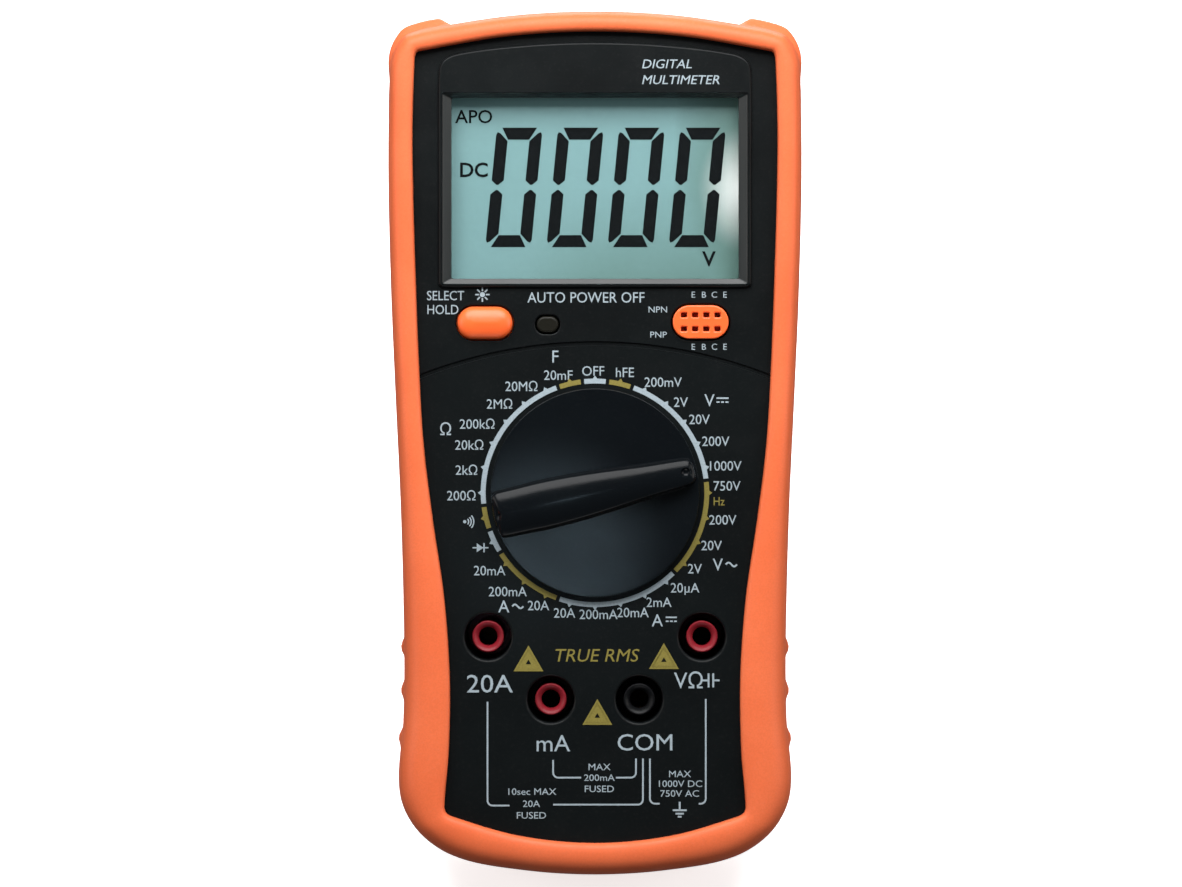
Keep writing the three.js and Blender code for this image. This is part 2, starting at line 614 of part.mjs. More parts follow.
function rotorCarrier() {
  const pocket = (side) => {
    const ends = [side * DETENT.pocketFloor, side * (ROTOR.radius + 1)].sort((a, b) => a - b);
    return rod(0, (ROTOR.bottom + ROTOR.top) / 2, DETENT.ball + 0.2, ends[0], ends[1], 12);
  };
  return cut(
    post(0, 0, ROTOR.radius, ROTOR.bottom, ROTOR.top, 40),
    post(0, 0, KEY_RADIUS + GAP, 0, BEYOND, 6),
    pocket(1),
    pocket(-1),
  );
}

// Shallow notches round the inside, one for each position.
function detentRing() {
  const outer = new THREE.Shape();
  outer.absarc(0, 0, DETENT.outer, 0, 2 * Math.PI);
  const rim = Array.from({ length: SELECTOR.positions * 2 }, (_, i) => {
    const angle = (i / 2) * POSITION_STEP;
    const radius = DETENT.crest + (i % 2 ? 0 : DETENT.notch);
    return new THREE.Vector2(radius * Math.cos(angle), radius * Math.sin(angle));
  });
  const ring = new THREE.Shape(outer.getPoints(SELECTOR.positions));
  ring.holes.push(new THREE.Path(rim));
  return new THREE.ExtrudeGeometry(ring, { depth: FRONT_UNDER - GAP - ROTOR.bottom, bevelEnabled: false })
    .rotateZ(POINTING).translate(0, SELECTOR.y, ROTOR.bottom);
}

function detentSpring(side) {
  const turns = 4;
  const stepsPerTurn = 8;
  const steps = turns * stepsPerTurn;
  const start = DETENT.pocketFloor + 0.6;
  const length = DETENT.ballAt - DETENT.ball - start - 0.7;
  const route = new THREE.CatmullRomCurve3(Array.from({ length: steps + 1 }, (_, i) => {
    const angle = (i / stepsPerTurn) * 2 * Math.PI;
    const x = start + (length * i) / steps;
    return new THREE.Vector3(side * x, Math.cos(angle), Math.sin(angle));
  }));
  const section = new THREE.Shape([[0.22, 0], [0, 0.22], [-0.22, 0], [0, -0.22]]
    .map(([x, y]) => new THREE.Vector2(x, y)));
  return new THREE.ExtrudeGeometry(section, { steps, extrudePath: route })
    .translate(0, 0, (ROTOR.bottom + ROTOR.top) / 2);
}

function detentBall(side) {
  return new THREE.IcosahedronGeometry(DETENT.ball, 2)
    .translate(side * DETENT.ballAt, 0, (ROTOR.bottom + ROTOR.top) / 2);
}

add('detent_ring', detentRing(), WHITE_PLASTIC);
add('selector_knob', selectorKnob(), KNOB_BLACK, selector);
add('rotor_carrier', rotorCarrier(), WHITE_PLASTIC, selector);
add('knob_screw', screw(0, 0, KNOB_SCREW), STEEL, selector);
[1, -1].forEach((side, i) => {
  add(`detent_ball_${i + 1}`, detentBall(side), STEEL, selector);
  add(`detent_spring_${i + 1}`, detentSpring(side), STEEL, selector);
});
WIPER.radii.forEach((radius, i) => {
  const { half, halfWidth, back } = WIPER;
  const leaf = block(-half, half, radius - halfWidth, radius + halfWidth, back, ROTOR.bottom - GAP);
  add(`wiper_contact_${i + 1}`, leaf, BRASS, selector);
});

// ---------------------------------------------------------------- tilt stand
// Built folded flat about the hinge axis: the plate hangs along -y, its outer face towards -z.
function tiltStand() {
  const outer = STAND.outer - HINGE.z;
  const drop = HINGE.y * Math.cos(LEAN) + HINGE.z * Math.sin(LEAN) - FLOOR;
  const past = STAND.opened - LEAN;
  const slab = block(
    -HINGE.halfWidth, HINGE.halfWidth, -drop / Math.cos(past) - 5, 0, outer, outer + STAND.thick,
  );
  const floor = block(-FAR, FAR, -FAR, -drop, -FAR, FAR).rotateX(-past);
  return cut(
    join(slab, rod(0, 0, HINGE.barrel, -HINGE.halfWidth, HINGE.halfWidth)),
    rod(0, 0, PIN.radius + GAP, -FAR, FAR, 12),
    floor,
  );
}

add('stand_pin', rod(HINGE.y, HINGE.z, PIN.radius, -PIN.end, PIN.end), STEEL);
add('tilt_stand', tiltStand(), BLACK_PLASTIC, stand);

// ---------------------------------------------------------------- standing on the bench
// Leans the face back, then puts the origin at the bottom centre of the whole object.
meter.rotation.x = Math.PI / 2 - LEAN;
const object = new THREE.Group();
object.add(meter);
object.updateMatrixWorld(true);
const box = new THREE.Box3().setFromObject(object, true);
meter.position.set(0, -(box.min.y + box.max.y) / 2, -box.min.z);

export default object;
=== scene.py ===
"""A hand-held digital multimeter in its rubber holster, leaning back on its tilt stand.

Pieces are modelled in millimetres with the meter laid flat on its back: x to the right of the
face, y up the face, z out of it. Every finished mesh is then leant back to where the CAD has it.
"""

import json
import math

import bmesh
import bpy
from bpy.props import FloatProperty, FloatVectorProperty, IntProperty, PointerProperty
from bpy.types import Operator, Panel, PropertyGroup
from mathutils import Matrix, Vector
from mathutils.geometry import interpolate_bezier


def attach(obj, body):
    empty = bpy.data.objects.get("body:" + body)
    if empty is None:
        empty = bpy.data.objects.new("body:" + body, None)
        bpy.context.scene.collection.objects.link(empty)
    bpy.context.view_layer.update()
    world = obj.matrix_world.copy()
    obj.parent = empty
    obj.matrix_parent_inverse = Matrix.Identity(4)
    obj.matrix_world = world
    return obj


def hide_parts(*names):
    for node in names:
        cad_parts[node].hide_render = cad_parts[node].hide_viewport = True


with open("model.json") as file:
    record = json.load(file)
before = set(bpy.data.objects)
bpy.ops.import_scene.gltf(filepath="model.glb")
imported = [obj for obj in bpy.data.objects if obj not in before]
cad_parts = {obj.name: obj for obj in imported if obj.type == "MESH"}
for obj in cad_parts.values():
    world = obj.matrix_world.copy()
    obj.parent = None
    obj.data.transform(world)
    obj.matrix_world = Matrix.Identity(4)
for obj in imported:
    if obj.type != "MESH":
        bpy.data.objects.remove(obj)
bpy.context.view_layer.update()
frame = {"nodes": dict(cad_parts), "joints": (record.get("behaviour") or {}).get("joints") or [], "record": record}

bl_info = {
    "name": "Digital Multimeter",
    "version": (1, 0, 0),
    "blender": (4, 5, 0),
    "location": "View3D > Sidebar > Multimeter",
    "description": "Builds a digital multimeter in its rubber holster, piece by piece",
    "category": "Object",
}

# ---------------------------------------------------------------- the frame, laid flat

MM = 0.001
JOINTS = {joint["name"]: joint for joint in frame["joints"]}
OUT = Vector(JOINTS["selector_turn"]["axis"]).normalized()
UP = Vector((0.0, OUT.z, -OUT.y))
RIGHT = Vector((1.0, 0.0, 0.0))
SELECTOR_Y = 82.4
SELECTOR_Z = 36.5
ORIGIN = Vector(JOINTS["selector_turn"]["pos_m"]) - (UP * SELECTOR_Y + OUT * SELECTOR_Z) * MM
TURN = Matrix((RIGHT, UP, OUT)).transposed().to_4x4()
LEAN = math.atan2(UP.y, UP.z) - math.pi / 2  # about x, from leaning back to lying flat
LEANT_FROM_FLAT = Matrix.Translation(ORIGIN) @ TURN @ Matrix.Scale(MM, 4)
FLAT_FROM_LEANT = LEANT_FROM_FLAT.inverted()
OPENED = math.radians(-JOINTS["stand_fold"]["range_deg"][0])


def flat_box(node):
    """Lowest and highest corner of a CAD node in millimetres, with the meter laid flat."""
    places = [FLAT_FROM_LEANT @ v.co for v in frame["nodes"][node].data.vertices]
    low = Vector([min(p[i] for p in places) for i in range(3)])
    high = Vector([max(p[i] for p in places) for i in range(3)])
    return low, high


HALF_WIDTH, LENGTH, DEPTH = flat_box("holster")[1]  # it lies on z 0 with its foot at y 0
LIP_BACK = DEPTH - 2.7
HINGE = FLAT_FROM_LEANT @ Vector(JOINTS["stand_fold"]["pos_m"])
FACE = 34.0
PLATEAU = flat_box("front_case")[1].z
CASE_BACK = flat_box("rear_case")[0].z
PARTING = 17.0
PRINT_LIFT = 0.03

# ---------------------------------------------------------------- outlines


def vectors(pairs):
    return [Vector(p) for p in pairs]


def mirrored(points):
    """Points on the right of the middle line carried over to its left, in the opposite order."""
    return [Vector((-p.x, p.y)) for p in reversed(points)]


def through(knots, closed=False):
    """Bezier stretches that run smoothly through the knots, as lists of four points."""
    points = vectors(knots)
    last = len(points) - 1
    stretches = []
    for i in range(len(points) if closed else last):
        here, ahead = points[i], points[(i + 1) % len(points)]
        before = points[i - 1] if closed or i else Vector((-ahead.x, ahead.y))
        if closed or i + 2 <= last:
            beyond = points[(i + 2) % len(points)]
        else:
            beyond = Vector((-here.x, here.y))
        reach = (ahead - here).length / 3
        leave = here + (ahead - before).normalized() * reach
        arrive = ahead - (beyond - here).normalized() * reach
        stretches.append((here, leave, arrive, ahead))
    return stretches


def sampled(stretches, count):
    """Points at even steps along a run of Bezier stretches, the last one left off."""
    fine = []
    for here, leave, arrive, ahead in stretches:
        fine += interpolate_bezier(here, leave, arrive, ahead, 40)[:-1]
    fine.append(stretches[-1][3])
    lengths = [0.0]
    for a, b in zip(fine, fine[1:]):
        lengths.append(lengths[-1] + (b - a).length)
    points, i = [], 0
    for k in range(count):
        goal = lengths[-1] * k / count
        while lengths[i + 1] < goal:
            i += 1
        share = (goal - lengths[i]) / (lengths[i + 1] - lengths[i])
        points.append(fine[i].lerp(fine[i + 1], share))
    return points


STEPS = (56, 170, 62)  # points along the bottom, the side and the top of a half outline


def outline(knots, low_corner, high_corner):
    """A closed outline, mirrored from its right-hand half. The two corners are knot numbers."""
    stretches = through(knots)
    parts = (stretches[:low_corner], stretches[low_corner:high_corner], stretches[high_corner:])
    right = [p for part, count in zip(parts, STEPS) for p in sampled(part, count)]
    right.append(Vector(knots[-1]))
    return right + mirrored(right[1:-1])


def inset(points, distance):
    """The outline moved inwards by a distance; outwards if it is negative."""
    moved = []
    for i, p in enumerate(points):
        along = (points[(i + 1) % len(points)] - points[i - 1]).normalized()
        moved.append(p + Vector((-along.y, along.x)) * distance)
    return moved


def mix(a, b, share):
    return [p.lerp(q, share) for p, q in zip(a, b)]


def arc(x, y, radius, start, end, steps):
    """Points on an arc, its ends given as angles in radians."""
    angles = (start + (end - start) * k / steps for k in range(steps + 1))
    return [Vector((x + radius * math.cos(a), y + radius * math.sin(a))) for a in angles]


def circle(x, y, radius, count=48):
    return arc(x, y, radius, 0.0, 2 * math.pi, count)[:-1]


def rounded_box(x0, x1, y0, y1, radius, steps=6):
    """A rectangle with round corners, anticlockwise."""
    points = []
    for x, y, quarter in ((x1, y0, -1), (x1, y1, 0), (x0, y1, 1), (x0, y0, 2)):
        cx = x - radius if x == x1 else x + radius
        cy = y - radius if y == y1 else y + radius
        points += arc(cx, cy, radius, quarter * math.pi / 2, (quarter + 1) * math.pi / 2, steps)
    return points


def holster_outline():
    knots = [(0, 0), (15.5, 0.95), (30, 3.8), (38.4, 9.6), (42.2, 18), (41.35, 34), (41.2, 50),
             (41.9, 78), (43, 102), (44, 125), (44.6, 150), (44.4, 170), (43.9, 176.2),
             (41.4, 180.6), (38, 182.1), (33, 183.1), (17, 185.4), (0, LENGTH)]
    widest = 44.7  # where the curve swells most, between two knots
    return outline([(x * HALF_WIDTH / widest, y) for x, y in knots], 3, 13)


def panel_outline():
    knots = [(0, 7.2), (16, 8.7), (30.4, 12.8), (32.1, 13.9), (32.3, 16), (31.4, 27), (31.2, 43),
             (32.4, 60), (34.8, 76.6), (36.8, 93), (37.8, 110), (38.5, 128), (39, 145),
             (39.2, 160), (38.8, 174), (38.4, 176.9), (37, 177.4), (18.5, 180.5), (0, 181.5)]
    return outline(knots, 3, 15)


def plateau_outline():
    knots = [(0, 126.6), (20, 126.6), (32.7, 126.6), (33.5, 127), (33.6, 128), (33.6, 150), (33.6, 171.5),
             (32.9, 175), (29.5, 176.8), (15, 178.6), (0, 179.2)]
    return outline(knots, 3, 7)


def window_outline():
    """The opening in the holster's back."""
    knots = [(0, 9), (14, 9), (27.5, 9), (31.7, 10.8), (33.5, 15), (33.5, 60), (33.5, 120),
             (33.5, 172), (31.7, 176.8), (27.5, 178.5), (14, 178.5), (0, 178.5)]
    return outline(knots, 3, 8)


# ---------------------------------------------------------------- mesh building


def raised(points, z):
    """Flat points lifted to a height z, or each to its own where z is a list."""
    heights = z if isinstance(z, list) else [z] * len(points)
    return [(p.x, p.y, h) for p, h in zip(points, heights)]


def loft(bm, rings):
    """A wall through a stack of loops, made by extruding the first one from place to place.

    Returns the edges of the first and the last loop."""
    verts = [bm.verts.new(spot) for spot in raised(*rings[0])]
    edges = [bm.edges.new((v, verts[(i + 1) % len(verts)])) for i, v in enumerate(verts)]
    first = edges
    for points, z in rings[1:]:
        made = bmesh.ops.extrude_edge_only(bm, edges=edges)["geom"]
        fresh = {g for g in made if isinstance(g, bmesh.types.BMVert)}
        ahead = []
        for v in verts:
            ahead.append(next(e.other_vert(v) for e in v.link_edges if e.other_vert(v) in fresh))
        for v, spot in zip(ahead, raised(points, z)):
            v.co = spot
        edges = [g for g in made if isinstance(g, bmesh.types.BMEdge)
                 and g.verts[0] in fresh and g.verts[1] in fresh]
        verts = ahead
    return first, edges


def fill(bm, *loops):
    """A flat face between loops of edges, the outside one and any holes, shaded flat up to them."""
    edges = [e for loop in loops for e in loop]
    bmesh.ops.triangle_fill(bm, edges=edges, use_beauty=True, use_dissolve=False)
    for edge in edges:
        edge.smooth = False


def edge_steps(edge, steps=3):
    """Distances inwards and downwards for a rounded edge, from its wall to its face."""
    turns = [k / steps * math.pi / 2 for k in range(steps + 1)]
    return [(edge * (1 - math.cos(a)), edge * (1 - math.sin(a))) for a in turns]


def rounded_walls(points, z0, z1, edge, hole=False, low_edge=0.0):
    """The loops of a wall from z0 to z1 whose edge at z1 is rounded over, and at z0 where asked."""
    side = -1 if hole else 1
    way = 1 if z1 > z0 else -1
    rings = [(points, z0)]
    if low_edge:
        rings = [(inset(points, side * inward), z0 + way * back)
                 for inward, back in reversed(edge_steps(low_edge))]
    return rings + [(inset(points, side * inward), z1 - way * back)
                    for inward, back in edge_steps(edge)]


def plate(bm, points, z0, z1, edge, holes=(), low_edge=0.0):
    """A slab from z0 to z1 whose edge at z1 is rounded over. Each hole is blind: its outline and
    the height of its floor."""
    low, high = loft(bm, rounded_walls(points, z0, z1, edge, low_edge=low_edge))
    tops = [high]
    for hole, floor in holes:
        hole_low, hole_high = loft(bm, rounded_walls(hole, floor, z1, edge, hole=True))
        tops.append(hole_high)
        fill(bm, hole_low)
    fill(bm, *tops)
    fill(bm, low)


def spin_line(bm, line, centre, axis, steps):
    """A turned shape: a line of points spun once round an axis."""
    verts = [bm.verts.new(point) for point in line]
    edges = [bm.edges.new(pair) for pair in zip(verts, verts[1:])]
    bmesh.ops.spin(bm, geom=verts + edges, cent=centre, axis=axis, angle=2 * math.pi, steps=steps,
                   use_merge=True, use_duplicate=False)


def spun(bm, profile, x, y, steps):
    """A profile of (radius, z) pairs turned about an upright axis."""
    spin_line(bm, [(x + radius, y, z) for radius, z in profile], (x, y, 0), (0, 0, 1), steps)


def rod_along_x(bm, y, z, radius, x0, x1, steps=40, edge=0.3):
    profile = ((0, x0), (radius - edge, x0), (radius, x0 + edge), (radius, x1 - edge),
               (radius - edge, x1), (0, x1))
    spin_line(bm, [(x, y + r, z) for r, x in profile], (0, y, z), (1, 0, 0), steps)


def tidy_mesh(bm):
    bmesh.ops.remove_doubles(bm, verts=bm.verts, dist=1e-4)
    bmesh.ops.dissolve_degenerate(bm, dist=1e-5, edges=bm.edges)
    bmesh.ops.recalc_face_normals(bm, faces=bm.faces)


def mesh_from(name, bm):
    mesh = bpy.data.meshes.new(name)
    bm.to_mesh(mesh)
    bm.free()
    return mesh


def new_object(name, data):
    made = bpy.data.objects.new(name, data)
    bpy.context.scene.collection.objects.link(made)
    return made


def place(name, bm, material, body, replaces=(), turn=Matrix.Identity(4), sharp=35, tidy=True):
    """Stands a finished mesh where the CAD has it, as a piece that moves with a body.

    Edges that bend by more than the sharp angle, in degrees, are shaded as creases."""
    if tidy:
        tidy_mesh(bm)
    for face in bm.faces:
        face.smooth = True
    for edge in bm.edges:
        if edge.calc_face_angle(0.0) > math.radians(sharp):
            edge.smooth = False
    bmesh.ops.transform(bm, matrix=LEANT_FROM_FLAT @ turn, verts=bm.verts)
    piece = new_object(name, mesh_from(name, bm))
    piece.data.materials.append(material)
    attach(piece, body)
    if replaces:
        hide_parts(*replaces)
    evened = piece.modifiers.new("even_shading", "WEIGHTED_NORMAL")
    evened.keep_sharp = True


# ---------------------------------------------------------------- lettering

CAP_SHARE = 0.69  # of the font's size that a capital letter is high
INK_THICK = 0.04
LETTER_THICK = 0.02  # on each side of the letters' middle


def add_lettering(bm, words, height, x, y, z, align="CENTER", shear=0.0, weight=0.0, wide=1.0):
    """Adds raised letters of a cap height, centred on y. A weight thickens their strokes."""
    data = bpy.data.curves.new("letters", "FONT")
    data.body = words
    data.align_x = align
    data.size = height / CAP_SHARE
    data.shear = shear
    data.offset = weight
    data.extrude = LETTER_THICK
    data.resolution_u = 3
    holder = new_object("letters", data)
    graph = bpy.context.evaluated_depsgraph_get()
    mesh = bpy.data.meshes.new_from_object(holder.evaluated_get(graph))
    mesh.transform(Matrix.Translation((x, y - height / 2, z)) @ Matrix.Diagonal((wide, 1, 1, 1)))
    bm.from_mesh(mesh)
    bpy.data.objects.remove(holder)
    bpy.data.curves.remove(data)
    bpy.data.meshes.remove(mesh)


def add_patch(bm, points, z, thick=INK_THICK):
    """A thin flat patch of ink."""
    low, high = loft(bm, [(points, z), (points, z + thick)])
    fill(bm, high)
    fill(bm, low)


def stroke_outline(points, width):
    """The outline of a line of a width along open points, with square ends."""
    left, right = [], []
    for i, p in enumerate(points):
        before = points[max(i - 1, 0)]
        after = points[min(i + 1, len(points) - 1)]
        along = (after - before).normalized()
        across = Vector((-along.y, along.x)) * width / 2
        if 0 < i < len(points) - 1:
            across /= max(0.5, (p - before).normalized().dot(along))
        left.append(p + across)
        right.append(p - across)
    return right + left[::-1]


def add_stroke(bm, pairs, width, z):
    add_patch(bm, stroke_outline(vectors(pairs), width), z)


def add_frame(bm, points, width, z):
    """A closed band of ink of a width, centred on a closed outline."""
    outside = polygon_inset(points, -width / 2)
    inside = polygon_inset(points, width / 2)
    top = z + INK_THICK
    loft(bm, [(outside, z), (outside, top), (inside, top), (inside, z), (outside, z)])


def polygon_inset(points, distance):
    """A sharp-cornered outline moved inwards, each corner kept square to both its sides."""
    moved = []
    for i, p in enumerate(points):
        before = (p - points[i - 1]).normalized()
        after = (points[(i + 1) % len(points)] - p).normalized()
        middle_way = (before + after).normalized()
        reach = distance / max(0.2, middle_way.dot(after))
        moved.append(p + Vector((-middle_way.y, middle_way.x)) * reach)
    return moved


# ---------------------------------------------------------------- materials


def linear(red, green, blue):
    """A colour given as it looks on a screen, 0 to 255, as light."""
    shares = (value / 255 for value in (red, green, blue))
    return tuple(s / 12.92 if s <= 0.04045 else ((s + 0.055) / 1.055) ** 2.4 for s in shares)


def darker(colour, share):
    return tuple(part * share for part in colour)


def node_group(name, inputs, outputs):
    """An empty shader group with its sockets: (group, input node, output node)."""
    group = bpy.data.node_groups.new(name, "ShaderNodeTree")
    for socket, kind, default in inputs:
        made = group.interface.new_socket(name=socket, in_out="INPUT", socket_type=kind)
        if default is not None:
            made.default_value = default
    for socket, kind in outputs:
        group.interface.new_socket(name=socket, in_out="OUTPUT", socket_type=kind)
    return group, group.nodes.new("NodeGroupInput"), group.nodes.new("NodeGroupOutput")


def noise_node(tree, vector, scale, detail=2.0, roughness=0.5):
    node = tree.nodes.new("ShaderNodeTexNoise")
    node.inputs["Detail"].default_value = detail
    node.inputs["Roughness"].default_value = roughness
    tree.links.new(vector, node.inputs["Vector"])
    if isinstance(scale, float):
        node.inputs["Scale"].default_value = scale
    else:
        tree.links.new(scale, node.inputs["Scale"])
    return node.outputs["Fac"]


def ranged(tree, value, low, high, to_low=0.0, to_high=1.0):
    node = tree.nodes.new("ShaderNodeMapRange")
    tree.links.new(value, node.inputs["Value"])
    ends = (("From Min", low), ("From Max", high), ("To Min", to_low), ("To Max", to_high))
    for socket, number in ends:
        if isinstance(number, (int, float)):
            node.inputs[socket].default_value = number
        else:
            tree.links.new(number, node.inputs[socket])
    return node.outputs["Result"]


def math_node(tree, operation, a, b):
    node = tree.nodes.new("ShaderNodeMath")
    node.operation = operation
    for socket, value in zip(node.inputs, (a, b)):
        if isinstance(value, (int, float)):
            socket.default_value = value
        else:
            tree.links.new(value, socket)
    return node.outputs["Value"]


def mixed_colour(tree, factor, a, b):
    node = tree.nodes.new("ShaderNodeMix")
    node.data_type = "RGBA"
    tree.links.new(factor, node.inputs["Factor"])
    for socket, value in ((node.inputs["A"], a), (node.inputs["B"], b)):
        if isinstance(value, tuple):
            socket.default_value = (*value[:3], 1.0)
        else:
            tree.links.new(value, socket)
    return node.outputs["Result"]


def grain_group():
    """The fine spark-eroded texture of a moulding, and where it's deepest."""
    group, source, sink = node_group(
        "moulded_grain",
        [("Vector", "NodeSocketVector", None), ("Scale", "NodeSocketFloat", 4000.0)],
        [("Height", "NodeSocketFloat"), ("Pits", "NodeSocketFloat")],
    )
    vector, scale = source.outputs["Vector"], source.outputs["Scale"]
    fine = noise_node(group, vector, scale, 3.0, 0.6)
    coarse = noise_node(group, vector, math_node(group, "MULTIPLY", scale, 0.31), 1.0)
    height = math_node(group, "ADD", fine, math_node(group, "MULTIPLY", coarse, 0.6))
    group.links.new(height, sink.inputs["Height"])
    group.links.new(ranged(group, fine, 0.42, 0.6), sink.inputs["Pits"])
    return group


def drift_group():
    """Slow changes of shade over a surface: handling, age and uneven moulding."""
    group, source, sink = node_group(
        "shade_drift",
        [("Vector", "NodeSocketVector", None), ("Scale", "NodeSocketFloat", 40.0)],
        [("Mask", "NodeSocketFloat"), ("Smudge", "NodeSocketFloat")],
    )
    vector, scale = source.outputs["Vector"], source.outputs["Scale"]
    slow = noise_node(group, vector, scale, 3.0)
    smudge = noise_node(group, vector, math_node(group, "MULTIPLY", scale, 3.7), 4.0, 0.65)
    group.links.new(ranged(group, slow, 0.3, 0.7), sink.inputs["Mask"])
    group.links.new(ranged(group, smudge, 0.45, 0.75), sink.inputs["Smudge"])
    return group


def dust_group():
    """Specks of dust, thickest where a surface faces up."""
    group, source, sink = node_group(
        "settled_dust",
        [("Vector", "NodeSocketVector", None), ("Amount", "NodeSocketFloat", 0.2)],
        [("Mask", "NodeSocketFloat")],
    )
    normal = group.nodes.new("ShaderNodeNewGeometry").outputs["Normal"]
    parts = group.nodes.new("ShaderNodeSeparateXYZ")
    group.links.new(normal, parts.inputs["Vector"])
    facing = ranged(group, parts.outputs["Z"], 0.2, 1.0)
    specks = ranged(group, noise_node(group, source.outputs["Vector"], 1500.0), 0.56, 0.7)
    amount = math_node(group, "MULTIPLY", facing, source.outputs["Amount"])
    group.links.new(math_node(group, "MULTIPLY", amount, specks), sink.inputs["Mask"])
    return group


GROUPS = {}


def placed_group(tree, name, vector, value):
    """A shared group placed in a material, built the first time that it is asked for."""
    builders = {"moulded_grain": grain_group, "shade_drift": drift_group, "settled_dust": dust_group}
    if name not in GROUPS:
        GROUPS[name] = builders[name]()
    node = tree.nodes.new("ShaderNodeGroup")
    node.node_tree = GROUPS[name]
    tree.links.new(vector, node.inputs["Vector"])
    node.inputs[1].default_value = value
    return node.outputs


def started(name):
    """A new material: (material, tree, its shader, object coordinates turned to lie flat)."""
    material = bpy.data.materials.new(name)
    material.use_nodes = True
    tree = material.node_tree
    shader = tree.nodes["Principled BSDF"]
    coordinates = tree.nodes.new("ShaderNodeTexCoord").outputs["Object"]
    mapping = tree.nodes.new("ShaderNodeMapping")
    mapping.inputs["Rotation"].default_value = (LEAN, 0, 0)
    tree.links.new(coordinates, mapping.inputs["Vector"])
    return material, tree, shader, mapping.outputs["Vector"]


def bumped(tree, shader, height, strength, distance):
    bump = tree.nodes.new("ShaderNodeBump")
    bump.inputs["Strength"].default_value = strength
    bump.inputs["Distance"].default_value = distance
    tree.links.new(height, bump.inputs["Height"])
    tree.links.new(bump.outputs["Normal"], shader.inputs["Normal"])


def set_roughness(tree, shader, mask, low, high, rough):
    """Spreads a mask's values from low to high over a range of roughness."""
    tree.links.new(ranged(tree, mask, low, high, *rough), shader.inputs["Roughness"])


def moulding(name, colour, shade, rough=(0.35, 0.5), grain=4000.0, dust=0.1, strength=0.4,
             gloss=0.4):
    """A moulded plastic or rubber: two close shades, uneven gloss, fine grain and a little dust."""
    material, tree, shader, vector = started(name)
    drift = placed_group(tree, "shade_drift", vector, 45.0)
    texture = placed_group(tree, "moulded_grain", vector, grain)
    specks = placed_group(tree, "settled_dust", vector, dust)
    body = mixed_colour(tree, drift["Mask"], colour, shade)
    pits = math_node(tree, "MULTIPLY", texture["Pits"], 0.12)
    pitted = mixed_colour(tree, pits, body, darker(shade, 0.55))
    dusty = mixed_colour(tree, specks["Mask"], pitted, (0.5, 0.48, 0.45))
    tree.links.new(dusty, shader.inputs["Base Color"])
    set_roughness(tree, shader, drift["Smudge"], 0.0, 1.0, rough)
    shader.inputs["Specular IOR Level"].default_value = gloss
    bumped(tree, shader, texture["Height"], strength, 0.00004)
    return material


def metal(name, colour, shade, rough=(0.2, 0.4)):
    """A turned or plated metal with fine marks and a little tarnish."""
    material, tree, shader, vector = started(name)
    drift = placed_group(tree, "shade_drift", vector, 300.0)
    texture = placed_group(tree, "moulded_grain", vector, 3000.0)
    tree.links.new(mixed_colour(tree, drift["Mask"], colour, shade), shader.inputs["Base Color"])
    set_roughness(tree, shader, drift["Smudge"], 0.0, 1.0, rough)
    shader.inputs["Metallic"].default_value = 1.0
    bumped(tree, shader, texture["Height"], 0.2, 0.00002)
    return material


def ink(name, colour, shade, gloss=0.5):
    """Screen-printed ink, a little uneven and matt."""
    material, tree, shader, vector = started(name)
    cover = noise_node(tree, vector, 2600.0)
    thin = ranged(tree, cover, 0.4, 0.75)
    tree.links.new(mixed_colour(tree, thin, colour, shade), shader.inputs["Base Color"])
    set_roughness(tree, shader, cover, 0.3, 0.7, (0.45, 0.65))
    shader.inputs["Specular IOR Level"].default_value = gloss
    bumped(tree, shader, cover, 0.2, 0.00002)
    return material


def clear_plate(name, tint):
    """The thin clear window: nearly invisible, with a polished face and faint rubbing marks."""
    material, tree, shader, vector = started(name)
    marks = noise_node(tree, vector, 900.0, 4.0, 0.7)
    shader.inputs["Base Color"].default_value = (*tint, 1.0)
    set_roughness(tree, shader, marks, 0.5, 0.8, (0.03, 0.12))
    tree.links.new(ranged(tree, marks, 0.3, 0.8, 0.03, 0.06), shader.inputs["Alpha"])
    return material


def soft_patch(tree, vector, centre, size, exponent):
    """A mask, 1 at a flat point and fading to 0 at its edge. Its size is in metres."""
    mapping = tree.nodes.new("ShaderNodeMapping")
    mapping.vector_type = "TEXTURE"
    mapping.inputs["Location"].default_value = laid_flat(centre)
    mapping.inputs["Scale"].default_value = size
    tree.links.new(vector, mapping.inputs["Vector"])
    gradient = tree.nodes.new("ShaderNodeTexGradient")
    gradient.gradient_type = "SPHERICAL"
    tree.links.new(mapping.outputs["Vector"], gradient.inputs["Vector"])
    return math_node(tree, "POWER", gradient.outputs["Fac"], exponent)


# soft patches on the display: centre, reach in metres and how fast each fades
GREEN_EDGE = ((35.0, 150, 29), (0.018, 0.06, 0.05), 0.6)
GREEN_FOOT = ((14, 120, 29), (0.045, 0.03, 0.05), 1.2)
# a painted highlight: the display is paled nearly to white here, where the light's reflection lies
PAINTED_HIGHLIGHT = ((32.0, 148, 29), (0.010, 0.014, 0.03), 1.4)


def laid_flat(point):
    """A flat point in the turned coordinates that the materials use."""
    return Matrix.Rotation(LEAN, 4, "X") @ (LEANT_FROM_FLAT @ Vector(point))


